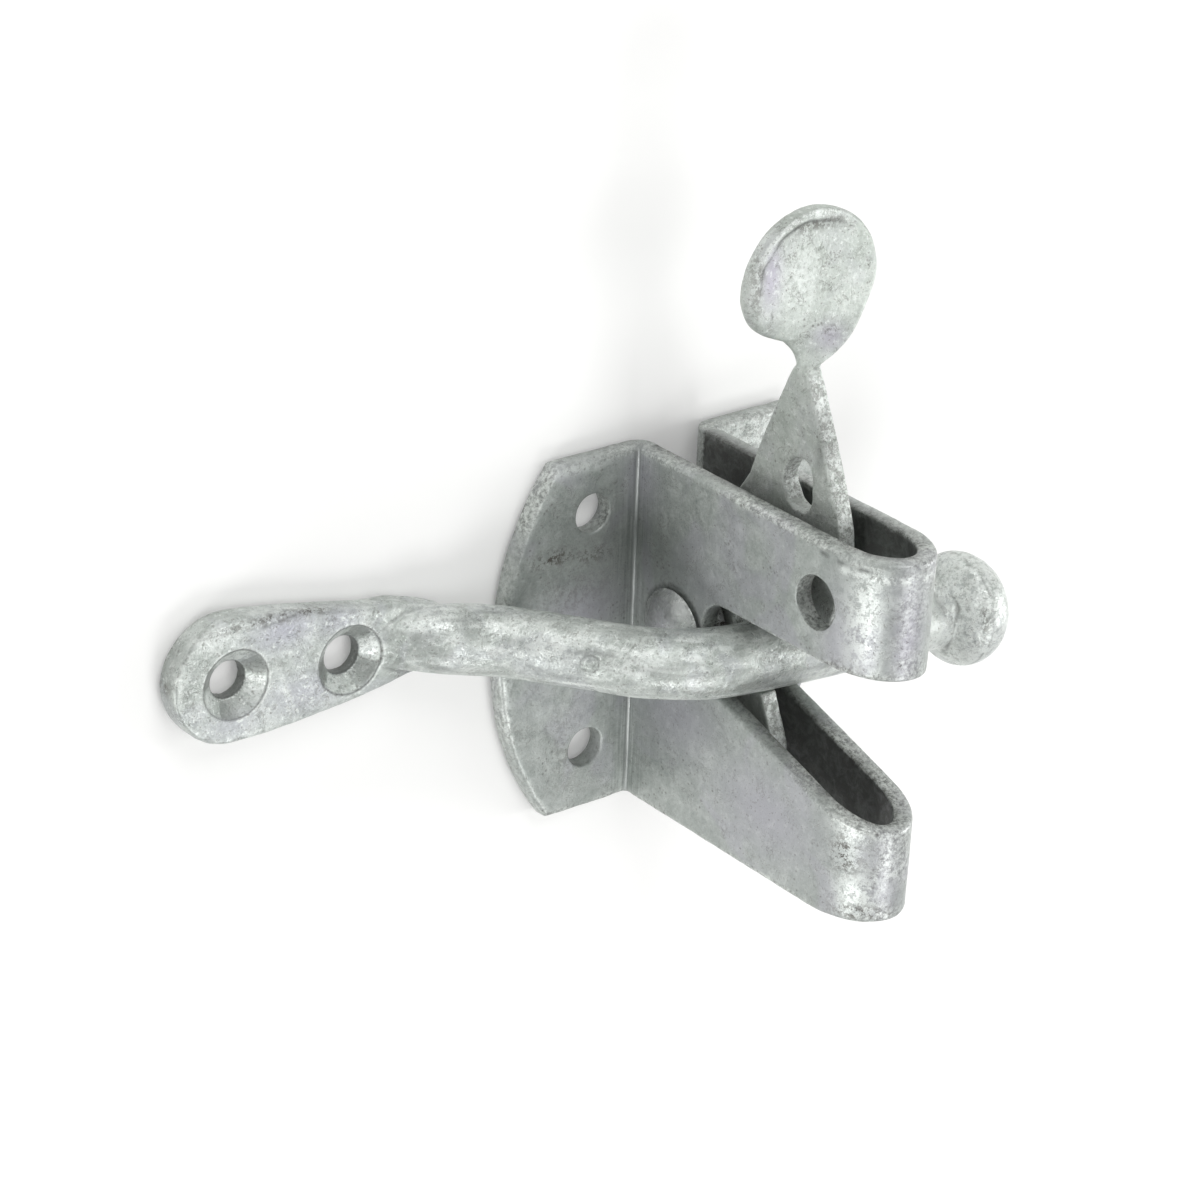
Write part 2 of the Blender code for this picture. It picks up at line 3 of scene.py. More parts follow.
import bmesh
import bpy
import numpy as np
from mathutils import Matrix, Vector
from mathutils.geometry import delaunay_2d_cdt


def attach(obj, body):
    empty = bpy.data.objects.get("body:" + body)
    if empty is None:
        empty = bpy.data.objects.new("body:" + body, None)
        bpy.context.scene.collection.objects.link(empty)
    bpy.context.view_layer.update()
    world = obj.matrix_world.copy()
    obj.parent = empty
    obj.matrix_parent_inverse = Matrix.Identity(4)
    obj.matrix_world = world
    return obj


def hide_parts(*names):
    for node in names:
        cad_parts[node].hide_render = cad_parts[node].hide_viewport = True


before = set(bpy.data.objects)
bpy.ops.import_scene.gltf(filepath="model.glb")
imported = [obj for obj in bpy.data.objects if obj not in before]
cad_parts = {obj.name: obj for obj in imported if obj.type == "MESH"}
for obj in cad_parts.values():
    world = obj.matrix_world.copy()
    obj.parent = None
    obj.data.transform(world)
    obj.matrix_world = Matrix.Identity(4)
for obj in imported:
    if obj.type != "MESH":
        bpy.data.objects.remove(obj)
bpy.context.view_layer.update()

# The folded catch: one strip of 3.4 mm steel sheet, cut flat with its mouth and
# holes, then folded to a tall U with two screw flanges and dipped in hot zinc.
# Its outer rims are rolled over by the shears and its inner rims are sharper.
MM = 0.001
STRIP = 3.4
HALF_HEIGHT = 32.5
CATCH_X = 17.5
WALL_MID = 6.65
NOSE_LENGTH = 10.0
NOSE_START = -53.5
NOSE_LEAN = 0.026
FLANGE_REACH = 36.0
FLANGE_EDGE_RADIUS = 55.0
FLANGE_BEND = 2.15
MOUTH_BACK = 22.4
MOUTH_TOP = 11.63
MOUTH_TOP_RISE = 0.008
MOUTH_RAMP_UP = -3.1
MOUTH_RAMP_SLOPE = 0.295
MOUTH_CORNER = 4.6
MOUTH_TILT = math.tan(math.radians(3.8))
END_MARGIN = 1.0
SCREW_HOLE, SCREW_ASIDE, SCREW_UPS = 6.8, 17.5, (22.4, -21.0)
PADLOCK_HOLE, PADLOCK_Y, PADLOCK_UP = 9.2, -49.7, 21.6
RIVET_HOLE, RIVET_Y, RIVET_UP = 8.4, -14.5, 3.2
FLANGE_RIM, MOUTH_RIM, HOLE_RIM, PIN_RIM = (1.0, 0.5), (0.7, 0.5), (0.45, 0.2), (0.3, 0.2)
EDGE_BITE = 0.12
BEND_LINE_ASIDE, BEND_LINE_OUT = 8.48, 3.53
SLOT_HALF, SLOT_NOSE, SEAM_UP, GLINT_UP, RIVET_RING = 6.0, 9.4, 30.9, 29.6, 7.5
STAIN_AND_SHADE, LILAC, BRIGHT_AND_HIGHLIGHT, CRUST = range(4)
STAIN_AND_SHADE_GREY, FRESH_ZINC_AND_HIGHLIGHT, PIT_BROWN = (0.095, 0.10, 0.095), (0.82, 0.86, 0.83), (0.085, 0.072, 0.06)
RIM_DARK, RIM_PALE = (0.13, 0.135, 0.125), (0.80, 0.84, 0.80)
BEND_SHADE, BEND_LIGHT = (0.25, 0.265, 0.26), (0.66, 0.69, 0.67)
LATTICE = np.random.default_rng(7).uniform(-1.0, 1.0, (32, 32, 32))


def lumps(points, size, shift=0.0):
    """Smooth random heights from -1 to 1: a number at each corner of a lattice of
    the given cell size, eased between corners with 3t^2 - 2t^3 along each axis."""
    cell = points / size + shift
    low = np.floor(cell).astype(int)
    part = cell - low
    part = part * part * (3 - 2 * part)
    height = np.zeros(len(points))
    for corner in np.ndindex(2, 2, 2):
        share = np.prod(np.where(corner, part, 1 - part), axis=1)
        i, j, k = ((low + corner) % 32).T
        height += share * LATTICE[i, j, k]
    return height


def arc(centre, radius, start, end, step=0.45):
    """Points at even angles on a circle, about one step of arc length apart."""
    count = max(3, int(abs(end - start) * radius / step))
    angle = np.linspace(start, end, count + 1)
    return np.array(centre) + radius * np.column_stack([np.cos(angle), np.sin(angle)])


def even(points, gap):
    """A closed line resampled at even distances along its length."""
    closed = np.vstack([points, points[:1]])
    run = np.concatenate([[0.0], np.cumsum(np.hypot(*np.diff(closed, axis=0).T))])
    at = np.linspace(0.0, run[-1], max(12, int(run[-1] / gap)), endpoint=False)
    return np.column_stack([np.interp(at, run, closed[:, 0]), np.interp(at, run, closed[:, 1])])


def inward(loop):
    """Unit steps into the metal at each point of a loop whose metal is on its left:
    the sum of the two edge normals, stretched so that both edges move evenly."""
    ahead = np.roll(loop, -1, axis=0) - loop
    ahead /= np.hypot(*ahead.T)[:, None]
    normal = np.column_stack([-ahead[:, 1], ahead[:, 0]])
    both = normal + np.roll(normal, 1, axis=0)
    return both / np.maximum((both ** 2).sum(1) / 2, 0.7)[:, None]


def inside(points, loops):
    """Whether points lie in the metal: a ray to the right crosses the loops an odd
    number of times."""
    crossings = np.zeros(len(points), int)
    for loop in loops:
        a, b = loop, np.roll(loop, -1, axis=0)
        for i in range(0, len(points), 2000):
            x, y = points[i:i + 2000, :1], points[i:i + 2000, 1:]
            spans = (a[:, 1] > y) != (b[:, 1] > y)
            rise = np.where(b[:, 1] == a[:, 1], 1.0, b[:, 1] - a[:, 1])
            meets = a[:, 0] + (y - a[:, 1]) / rise * (b[:, 0] - a[:, 0])
            crossings[i:i + 2000] += (spans & (x < meets)).sum(1)
    return crossings % 2 == 1


def bands(index):
    """Four-cornered faces between each ring of points and the next one."""
    after = np.roll(index, -1, axis=1)
    return np.stack([index[:-1], after[:-1], after[1:], index[1:]], axis=-1).reshape(-1, 4).tolist()


def pressed_sheet(loops, rounds, grid, thick):
    """A flat sheet with rounded rims, as points (u, v, height) and faces. Each loop
    carries a profile: a quarter circle from the front face, the cut wall, and a
    quarter circle to the back face. The front face is triangulated between the loops
    over a grid of points, and the back face repeats its triangles the other way."""
    turn = np.linspace(0.0, math.pi / 2, 5)
    half = thick / 2
    points, faces, rings, shared, base = [], [], [], [], 0
    for loop, (front, back) in zip(loops, rounds):
        depth = np.concatenate([front * (1 - np.sin(turn)), back * (1 - np.cos(turn))])
        height = np.concatenate([half - front * (1 - np.cos(turn)), -half + back * (1 - np.sin(turn))])
        ring = loop + inward(loop) * depth[:, None, None]
        points.append(np.concatenate([ring, np.broadcast_to(height[:, None, None], ring.shape[:2] + (1,))],
                                     axis=-1).reshape(-1, 3))
        index = base + np.arange(len(depth) * len(loop)).reshape(len(depth), len(loop))
        faces += bands(index)
        rings.append(ring[0])
        shared.append(index[[0, -1]])
        base += index.size
    kept = grid[inside(grid, rings)]
    border = np.vstack(rings)
    gap = np.concatenate([np.hypot(part[:, :1] - border[:, 0], part[:, 1:] - border[:, 1]).min(1)
                          for part in (kept[i:i + 1000] for i in range(0, len(kept), 1000))])
    kept = kept[gap > 0.33]
    lines, start = [], 0
    for ring in rings:
        index = start + np.arange(len(ring))
        lines += np.column_stack([index, np.roll(index, -1)]).tolist()
        start += len(ring)
    flat = np.vstack([border, kept])
    corners, _, triangles, first, *_ = delaunay_2d_cdt([Vector(p) for p in flat], lines, [], 0, 1e-6)
    source = [f[0] if f else int(np.hypot(*(flat - np.array(c)).T).argmin()) for f, c in zip(first, corners)]
    triangles = np.array([[source[i] for i in t] for t in triangles if len({source[i] for i in t}) == 3])
    triangles = triangles[inside(flat[triangles].mean(1), rings)]
    fresh = base + np.arange(2 * len(kept)).reshape(2, -1)
    front = np.concatenate([s[0] for s in shared] + [fresh[0]])
    back = np.concatenate([s[1] for s in shared] + [fresh[1]])
    points += [np.column_stack([kept, np.full(len(kept), side)]) for side in (half, -half)]
    return np.vstack(points), faces + front[triangles].tolist() + back[triangles[:, ::-1]].tolist()


def shown(name, data):
    """A new object in the scene."""
    made = bpy.data.objects.new(name, data)
    bpy.context.scene.collection.objects.link(made)
    return made


def closed_mesh(name, points, faces):
    """A mesh from points in millimetres: doubled points merged, faces turned out."""
    mesh = bpy.data.meshes.new(name)
    mesh.from_pydata((points * MM).tolist(), [], faces)
    bm = bmesh.new()
    bm.from_mesh(mesh)
    bmesh.ops.remove_doubles(bm, verts=bm.verts, dist=2e-6)
    bmesh.ops.recalc_face_normals(bm, faces=bm.faces)
    bm.to_mesh(mesh)
    bm.free()
    return mesh


def coordinates(mesh, field="co"):
    """The mesh's points, or their normals, as an array in the mesh's own units."""
    flat = np.empty(len(mesh.vertices) * 3, np.float32)
    source = mesh.vertices if field == "co" else mesh.vertex_normals
    source.foreach_get(field, flat)
    return flat.reshape(-1, 3).astype(float)


def smoothed(mesh, points, rounds):
    """Each point moved half way to the mean of its neighbours, again and again."""
    ends = np.empty(len(mesh.edges) * 2, int)
    mesh.edges.foreach_get("vertices", ends)
    a, b = ends.reshape(-1, 2).T
    count = len(points)
    degree = np.bincount(a, minlength=count) + np.bincount(b, minlength=count)
    for _ in range(rounds):
        mean = np.column_stack([np.bincount(a, points[b, k], count) + np.bincount(b, points[a, k], count)
                                for k in range(3)]) / degree[:, None]
        points = (points + mean) / 2
    return points


def marks(points, places):
    """Where the surface carries local marks: for each of the four channels, the
    largest of its soft round spots, exp(-(distance / radius)^2) times a strength.
    The channels are dark stains and painted shade, lilac, bright zinc and painted
    highlights, and a crust of dark specks."""
    channels = np.zeros((len(points), 4))
    for channel, place, radius, strength in places:
        far = ((points - place) / radius) ** 2
        channels[:, channel] = np.maximum(channels[:, channel], strength * np.exp(-far.sum(1)))
    return channels


def lay(local, channel, strength):
    """Raise one channel of the marks to at least the given strength."""
    local[:, channel] = np.maximum(local[:, channel], strength)


def move(mesh, points):
    """Put a mesh's points at these places in millimetres."""
    mesh.vertices.foreach_set("co", (points * MM).astype(np.float32).ravel())
    mesh.update()


def dipped(mesh, name, body, replaced, local, coat=0.06, swell=0.0, rounds=5):
    """Finish a piece: let its zinc skin rise and fall along the normals, never above
    the nominal size, and keep two attributes. The first is how far each point stands
    out from a smoothed copy of the piece, above 0 on rims, which get worn flecks, and
    below 0 in creases, which get a painted shade. The second, "marks", holds the
    local marks, four channels at each point."""
    points, normals = coordinates(mesh) / MM, coordinates(mesh, "vector")
    rise = 0.5 * lumps(points, 3.6) + 0.5 * lumps(points, 1.3, 5.3) - 1.0
    rise = coat * rise - swell * np.clip(lumps(points, 7.0, 2.1) + 0.1, 0.0, 1.0)
    points += normals * rise[:, None]
    stand = ((points - smoothed(mesh, points, rounds)) * normals).sum(1) / 0.1
    move(mesh, points)
    wear_and_shade = mesh.attributes.new("wear_and_shade", "FLOAT", "POINT")
    wear_and_shade.data.foreach_set("value", np.clip(stand, -1.0, 1.0).astype(np.float32))
    layer = mesh.attributes.new("marks", "FLOAT_COLOR", "POINT")
    layer.data.foreach_set("color", local.astype(np.float32).ravel())
    mesh.shade_smooth()
    mesh.update()
    piece = shown(name, mesh)
    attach(piece, body)
    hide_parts(replaced)
    return piece


def zinc(name, dim, mid, pale, lilac, cloud=16.0, mottle=3.0, shift=0.0, stretch=(1.0, 1.0, 1.0),
         lilac_share=0.4, bright_share=0.4, pits=0.5, roughness=0.46, relief=0.5, lines=0.0,
         crease_shade=(0.22, 0.23, 0.22), rims=0.5, fleck_size=1.5, veins=0.5):
    """Hot-dip zinc. Its tone is a sum of noise clouds, mottles and grain, ramped from
    dim to pale. Patches turn lilac or bright, pits, pepper and thin veins are dark,
    rims carry bright and dark flecks, and creases are darkened, a painted shade.
    With lines, drawn streaks run beside the catch's bends, and each bend line gets a
    painted shade and a thin painted highlight. The attribute "marks" adds stains
    and painted shade, lilac, bright zinc and painted highlights, and dark specks.
    Mottles and grain make the relief."""
    material = bpy.data.materials.new(name)
    material.use_nodes = True
    tree = material.node_tree
    shader = tree.nodes["Principled BSDF"]
    shader.inputs["Metallic"].default_value = 0.5
    shader.inputs["IOR"].default_value = 1.5
    shader.inputs["Specular IOR Level"].default_value = 0.5

    def feed(socket, value):
        """Link an output to a socket, or set the socket to a number or a colour."""
        if isinstance(value, bpy.types.NodeSocket):
            tree.links.new(value, socket)
        else:
            socket.default_value = value

    def node(kind, settings=None, **inputs):
        """A new node with its settings and with values or links on its inputs."""
        made = tree.nodes.new(kind)
        for key, value in (settings or {}).items():
            setattr(made, key, value)
        for key, value in inputs.items():
            feed(made.inputs[int(key[1:]) if key[1:].isdigit() else key.replace("_", " ")], value)
        return made

    def maths(operation, a, b=0.0, c=0.0):
        return node("ShaderNodeMath", {"operation": operation}, i0=a, i1=b, i2=c).outputs[0]

    def times(a, b):
        return maths("MULTIPLY", a, b)

    def most(a, b):
        return maths("MAXIMUM", a, b)

    def between(value, low, high):
        """0 below the low value, 1 above the high one, eased between them."""
        return node("ShaderNodeMapRange", {"interpolation_type": "SMOOTHSTEP"}, Value=value, From_Min=low,
                    From_Max=high).outputs[0]

    def blend(share, a, b):
        a, b = ((*value, 1.0) if isinstance(value, tuple) else value for value in (a, b))
        return node("ShaderNodeMix", {"data_type": "RGBA"}, i0=share, i6=a, i7=b).outputs[2]

    coords = node("ShaderNodeTexCoord").outputs["Object"]
    place = node("ShaderNodeMapping", Vector=coords, Location=(shift, shift * 0.7, -shift),
                 Scale=stretch).outputs[0]
    even_place = node("ShaderNodeMapping", Vector=coords, Location=(shift, -shift, shift * 0.3)).outputs[0]

    def noise(size, detail=3.0, rough=0.55, twist=0.0, where=place):
        return node("ShaderNodeTexNoise", Vector=where, Scale=1.0 / (size * MM), Detail=detail,
                    Roughness=rough, Distortion=twist).outputs[0]

    clouds, patches = noise(cloud, 3.0, 0.6, 0.6), noise(mottle, 6.0, 0.72, 0.5)
    grain = noise(0.55, 3.0, 0.65, 0.0, even_place)
    wear_and_shade = node("ShaderNodeAttribute", {"attribute_name": "wear_and_shade"}).outputs["Fac"]
    local = node("ShaderNodeAttribute", {"attribute_name": "marks"})
    split = node("ShaderNodeSeparateColor", Color=local.outputs["Color"])
    stain_and_shade, lilac_mark, bright_and_highlight_mark = split.outputs[0], split.outputs[1], split.outputs[2]
    crust = local.outputs["Alpha"]
    rim, hollow_shade = between(wear_and_shade, 0.30, 0.75), between(wear_and_shade, -0.15, -0.7)

    tone = times(clouds, 0.30)
    tone = maths("MULTIPLY_ADD", patches, 0.40, tone)
    tone = maths("MULTIPLY_ADD", grain, 0.30, tone)
    if lines:
        along = node("ShaderNodeMapping", Vector=coords, Scale=(1.0, 1.0, 0.03)).outputs[0]
        axes = node("ShaderNodeSeparateXYZ", Vector=coords).outputs
        aside = maths("ABSOLUTE", maths("SUBTRACT", axes[0], CATCH_X * MM))
        aside = maths("SUBTRACT", aside, BEND_LINE_ASIDE * MM)
        ahead = maths("ADD", axes[1], BEND_LINE_OUT * MM)
        far = maths("SQRT", maths("ADD", times(aside, aside), times(ahead, ahead)))
        near = maths("ADD", between(far, 7.5 * MM, 0.5 * MM), between(far, 2.6 * MM, 0.4 * MM))
        drawn = maths("SUBTRACT", noise(0.40, 2.0, 0.6, 0.0, along), 0.5)
        tone = maths("MULTIPLY_ADD", drawn, times(near, lines), tone)
    ramp = node("ShaderNodeValToRGB", Fac=tone)
    stops = ramp.color_ramp.elements
    stops[0].position, stops[0].color = 0.39, (*dim, 1.0)
    stops[1].position, stops[1].color = 0.61, (*pale, 1.0)
    stops.new(0.5).color = (*mid, 1.0)
    colour = ramp.outputs[0]

    veil = between(noise(cloud * 0.8, 2.0, 0.5, 1.0, even_place), 0.48, 0.64)
    veil = most(times(veil, lilac_share), lilac_mark)
    colour = blend(veil, colour, lilac)
    fleck = noise(fleck_size, 5.0, 0.8)
    bright = times(between(fleck, 0.54, 0.64), bright_share)
    # bright zinc from the marks, and painted highlights
    bright = most(bright, times(bright_and_highlight_mark, between(fleck, 0.40, 0.54)))
    colour = blend(bright, colour, FRESH_ZINC_AND_HIGHLIGHT)
    # stains from the marks, and painted shade
    cover = maths("MULTIPLY_ADD", between(patches, 0.34, 0.56), 0.25, 0.75)
    colour = blend(times(stain_and_shade, cover), colour, STAIN_AND_SHADE_GREY)
    edge = node("ShaderNodeValToRGB", Fac=noise(0.8, 4.0, 0.8, 0.0, even_place))
    ends = edge.color_ramp.elements
    ends[0].position, ends[0].color = 0.40, (*RIM_DARK, 1.0)
    ends[1].position, ends[1].color = 0.58, (*RIM_PALE, 1.0)
    worn = times(rim, maths("MULTIPLY_ADD", between(clouds, 0.40, 0.62), rims, 0.3 * rims))
    colour = blend(worn, colour, edge.outputs[0])

    cells = node("ShaderNodeTexVoronoi", Vector=even_place, Scale=1.0 / (1.1 * MM)).outputs[0]
    sparse = between(noise(6.2, 3.0, 0.6, 0.0, even_place), 0.52, 0.64)
    pit = times(between(cells, 0.32, 0.10), sparse)
    speck = times(between(noise(1.2, 5.0, 0.85, 0.0, even_place), 0.505, 0.545), crust)
    vein = between(maths("ABSOLUTE", maths("SUBTRACT", noise(2.4, 4.0, 0.65, 1.0), 0.5)), 0.020, 0.004)
    vein = times(vein, between(noise(4.4, 2.0, 0.5, 0.0, even_place), 0.50, 0.60))
    dark = most(times(pit, pits), times(speck, 0.95))
    dark = most(dark, times(vein, veins))
    pepper = between(noise(0.55, 3.0, 0.85, 0.0, even_place), 0.585, 0.64)
    dark = most(dark, times(pepper, pits))
    colour = blend(dark, colour, PIT_BROWN)
    # painted shade: creases are darkened
    colour = blend(times(hollow_shade, 0.6), colour, crease_shade)
    if lines:
        # painted shade along each bend line, and a thin painted highlight on it
        shade = times(between(far, 0.75 * MM, 0.45 * MM), 0.5)
        colour = blend(shade, colour, BEND_SHADE)
        thin_line = times(between(far, 0.26 * MM, 0.14 * MM), between(clouds, 0.42, 0.54))
        colour = blend(times(thin_line, 0.5), colour, BEND_LIGHT)
    feed(shader.inputs["Base Color"], colour)

    shine = maths("MULTIPLY_ADD", patches, 0.4, roughness - 0.2)
    feed(shader.inputs["Roughness"], maths("MULTIPLY_ADD", dark, 0.2, shine))
    height = maths("MULTIPLY_ADD", grain, 0.22, times(patches, 0.78))
    height = maths("MULTIPLY_ADD", dark, -0.3, height)
    bump = node("ShaderNodeBump", Strength=relief, Distance=0.5 * MM, Height=height)
    feed(shader.inputs["Normal"], bump.outputs[0])
    return material


def folded_line():
    """The strip's middle line seen from above, from the right flange's end to the
    left one's: flange, bend, wall, half an ellipse for the nose, and their mirror
    image. Gives distance along it, points, and steps to its outside."""
    bend = arc((WALL_MID + FLANGE_BEND, -STRIP / 2 - FLANGE_BEND), FLANGE_BEND, math.pi / 2, math.pi, 0.05)
    turn = np.linspace(0.0, math.pi / 2, 300)
    nose = np.column_stack([WALL_MID * np.cos(turn), NOSE_START - NOSE_LENGTH * np.sin(turn)])
    right = np.vstack([[(FLANGE_REACH + END_MARGIN, -STRIP / 2)], bend, nose])
    line = np.vstack([right, right[-2::-1] * (-1, 1)])
    run = np.concatenate([[0.0], np.cumsum(np.hypot(*np.diff(line, axis=0).T))])
    at = np.arange(0.0, run[-1], 0.05)
    line = np.column_stack([np.interp(at, run, line[:, 0]), np.interp(at, run, line[:, 1])])
    ahead = np.gradient(line, axis=0)
    ahead /= np.hypot(*ahead.T)[:, None]
    return at, line, np.column_stack([-ahead[:, 1], ahead[:, 0]])


RUN, LINE, OUTSIDE = folded_line()
MIDDLE_RUN = RUN[-1] / 2


def fold(flat):
    """Flat points (run, up, outside) placed on the folded strip. The nose stands less
    far out towards the bottom, and the walls shorten with it."""
    run, up, out = flat.T
    x = np.interp(run, RUN, LINE[:, 0]) + out * np.interp(run, RUN, OUTSIDE[:, 0])
    y = np.interp(run, RUN, LINE[:, 1]) + out * np.interp(run, RUN, OUTSIDE[:, 1])
    share = np.clip((-y - 5.0) / (-NOSE_START - 5.0), 0.0, 1.0)
    y = y + NOSE_LEAN * (HALF_HEIGHT - up) * share
    return np.column_stack([x + CATCH_X, y, up])


def run_at(x_side, y):
    """How far along the strip a point of a wall lies, from its distance out."""
    side = LINE[:, 0] > 0 if x_side > 0 else LINE[:, 0] < 0
    wall = side & (LINE[:, 1] < -STRIP - 0.5)
    order = np.argsort(LINE[wall, 1])
    return np.interp(y, LINE[wall, 1][order], RUN[wall][order])


def mouth_loop():
    """The mouth in the flat strip. Each wall's throat is a straight edge between two
    round corners. The top edge rises and the ramp falls on the way out, and both sink
    to the right as the punch stood a little askew."""
    top_angle, ramp_angle = math.atan(MOUTH_TOP_RISE), math.atan(MOUTH_RAMP_SLOPE)
    r = MOUTH_CORNER
    top = arc((-MOUTH_BACK - r, MOUTH_TOP - r), r, math.pi / 2 - top_angle, 0.0)
    ramp_centre = MOUTH_RAMP_UP - MOUTH_RAMP_SLOPE * r + r * math.hypot(1.0, MOUTH_RAMP_SLOPE)
    ramp = arc((-MOUTH_BACK - r, ramp_centre), r, 0.0, -math.pi / 2 + ramp_angle)
    throat = np.vstack([top, ramp])
    first, last = run_at(1, -MOUTH_BACK - 5.0), run_at(-1, -MOUTH_BACK - 5.0)
    across = np.arange(first, last, 0.4)
    x, y = np.interp(across, RUN, LINE[:, 0]), np.interp(across, RUN, LINE[:, 1])
    upper = MOUTH_TOP + MOUTH_TOP_RISE * (-y - MOUTH_BACK) - MOUTH_TILT * (x + WALL_MID)
    lower = MOUTH_RAMP_UP - MOUTH_RAMP_SLOPE * (-y - MOUTH_BACK) - MOUTH_TILT * (x + WALL_MID)
    right = np.column_stack([run_at(1, throat[:, 0]), throat[:, 1] - MOUTH_TILT * 2 * WALL_MID])
    left = np.column_stack([run_at(-1, throat[:, 0]), throat[:, 1]])
    return np.vstack([right[::-1], np.column_stack([across, upper]), left,
                      np.column_stack([across, lower])[::-1]])


def hole(run, up, diameter):
    """A round hole as a loop with the metal on its left, so it runs clockwise."""
    return arc((run, up), diameter / 2, 0.0, -2 * math.pi, 0.42)[:-1]


edge_spread = math.asin(HALF_HEIGHT / FLANGE_EDGE_RADIUS)
right_end = arc((FLANGE_REACH - FLANGE_EDGE_RADIUS, 0.0), FLANGE_EDGE_RADIUS, edge_spread, -edge_spread)
right_end[:, 0] = END_MARGIN + FLANGE_REACH - right_end[:, 0]
left_end = np.column_stack([2 * MIDDLE_RUN - right_end[:, 0], right_end[:, 1]])[::-1]
outline = even(np.vstack([right_end, left_end]), 0.6)
bites = np.clip(lumps(np.column_stack([outline, outline[:, :1]]), 3.1) + 0.3, 0.0, None)
outline += inward(outline) * EDGE_BITE * bites[:, None]
screw_run = END_MARGIN + FLANGE_REACH - SCREW_ASIDE
holes = [hole(run, up, SCREW_HOLE) for run in (screw_run, 2 * MIDDLE_RUN - screw_run) for up in SCREW_UPS]
holes += [hole(run_at(side, PADLOCK_Y), PADLOCK_UP, PADLOCK_HOLE) for side in (1, -1)]
holes += [hole(run_at(side, RIVET_Y), RIVET_UP, RIVET_HOLE) for side in (1, -1)]
mouth = even(mouth_loop(), 0.6)
grid = np.stack(np.meshgrid(np.arange(END_MARGIN, RUN[-1] - END_MARGIN, 0.62), np.arange(-32.0, 32.1, 0.66)),
                axis=-1)
grid[1::2, :, 0] += 0.31
rounds = [FLANGE_RIM, MOUTH_RIM] + [HOLE_RIM] * 4 + [PIN_RIM] * 4
flat, faces = pressed_sheet([outline, mouth] + holes, rounds, grid.reshape(-1, 2), STRIP)
CATCH_MARKS = [
    # painted shade: the left flange and the left wall are darkened near the bend between them
    (STAIN_AND_SHADE, (5.0, -5.0, 12.0), (7.0, 12.0, 15.0), 0.42),
    (STAIN_AND_SHADE, (9.2, -10.0, 14.0), (5.0, 11.0, 13.0), 0.32), (LILAC, (-1.0, -3.4, 5.0), (9.0, 4.0, 5.0), 0.7),
    (LILAC, (9.2, -16.0, -12.0), (3.0, 12.0, 8.0), 0.6),
    (LILAC, (9.2, -40.0, -20.0), (4.0, 14.0, 8.0), 0.65),
    (LILAC, (9.2, -55.0, 16.0), (3.0, 4.0, 10.0), 0.6), (LILAC, (9.2, -24.0, 14.0), (3.0, 9.0, 6.0), 0.4),
    (BRIGHT_AND_HIGHLIGHT, (9.2, -26.0, -16.0), (3.0, 10.0, 2.0), 0.2), (LILAC, (9.1, -5.0, 27.0), (3.0, 4.0, 6.0), 0.6),
    (LILAC, (15.9, -64.8, 20.0), (3.0, 3.0, 14.0), 0.9),
    (LILAC, (16.0, -62.0, -22.0), (3.5, 3.5, 14.0), 0.8),
    # bright zinc and a painted highlight: the bright band on the noses' left side
    (BRIGHT_AND_HIGHLIGHT, (10.5, -59.5, 22.0), (2.4, 3.6, 10.0), 0.75),
    (BRIGHT_AND_HIGHLIGHT, (12.2, -61.0, -28.0), (3.2, 3.6, 5.5), 1.0),
    (BRIGHT_AND_HIGHLIGHT, (11.0, -59.5, -14.5), (2.5, 3.4, 4.0), 0.9),
    (BRIGHT_AND_HIGHLIGHT, (-17.0, -2.5, 0.0), (1.6, 3.0, 22.0), 0.7), (BRIGHT_AND_HIGHLIGHT, (-4.0, -2.5, 31.2), (9.0, 3.0, 1.0), 0.7),
    (BRIGHT_AND_HIGHLIGHT, (-4.0, -3.4, -14.0), (12.0, 2.0, 17.0), 0.22),
    # bright rough zinc with specks on the right flange, and partly painted light from the right
    (BRIGHT_AND_HIGHLIGHT, (38.0, -3.4, 27.0), (14.0, 2.0, 12.0), 0.9),
    (CRUST, (38.0, -3.4, 27.0), (14.0, 2.0, 12.0), 0.35),
    (CRUST, (10.6, -58.8, -20.2), (2.6, 2.6, 3.4), 1.0), (CRUST, (-8.0, -3.4, 16.0), (5.0, 3.0, 1.6), 1.0),
    (CRUST, (0.0, -3.4, 15.0), (4.0, 3.0, 1.8), 0.7), (CRUST, (12.2, -61.0, -30.5), (5.0, 5.0, 1.6), 0.9),
    (CRUST, (9.2, -56.0, 12.0), (3.0, 5.0, 2.2), 0.6), (CRUST, (-4.0, -3.4, -20.0), (4.0, 3.0, 9.0), 0.4),
    (CRUST, (-5.0, -3.4, 9.0), (8.0, 3.0, 5.0), 0.4),
]
catch_mesh = closed_mesh("catch", fold(flat), faces)
points = coordinates(catch_mesh) / MM
local = marks(points, CATCH_MARKS)
reach = np.hypot((points[:, 0] - CATCH_X) / SLOT_HALF,
                 np.clip(NOSE_START - points[:, 1], 0.0, None) / SLOT_NOSE)
# painted shade: inside the U between the walls the zinc is darkened
lay(local, STAIN_AND_SHADE, np.clip((1.0 - reach) / 0.08, 0.0, 1.0) * (points[:, 1] < -4.2))
outer = reach > 1.2
thin_line = 0.85 * np.exp(-((points[:, 2] - SEAM_UP - 0.3 * lumps(points, 3.0)) / 0.26) ** 2) * outer
thin_line *= np.clip((-44.0 - points[:, 1]) / 5.0, 0.0, 1.0)
thin_line *= np.clip(0.7 + 1.4 * lumps(points, 2.1, 1.3), 0.0, 1.0)
lay(local, STAIN_AND_SHADE, thin_line)
lay(local, BRIGHT_AND_HIGHLIGHT, 0.8 * np.exp(-((points[:, 2] - GLINT_UP) / 0.8) ** 2) * (points[:, 1] < -55.0) * outer)
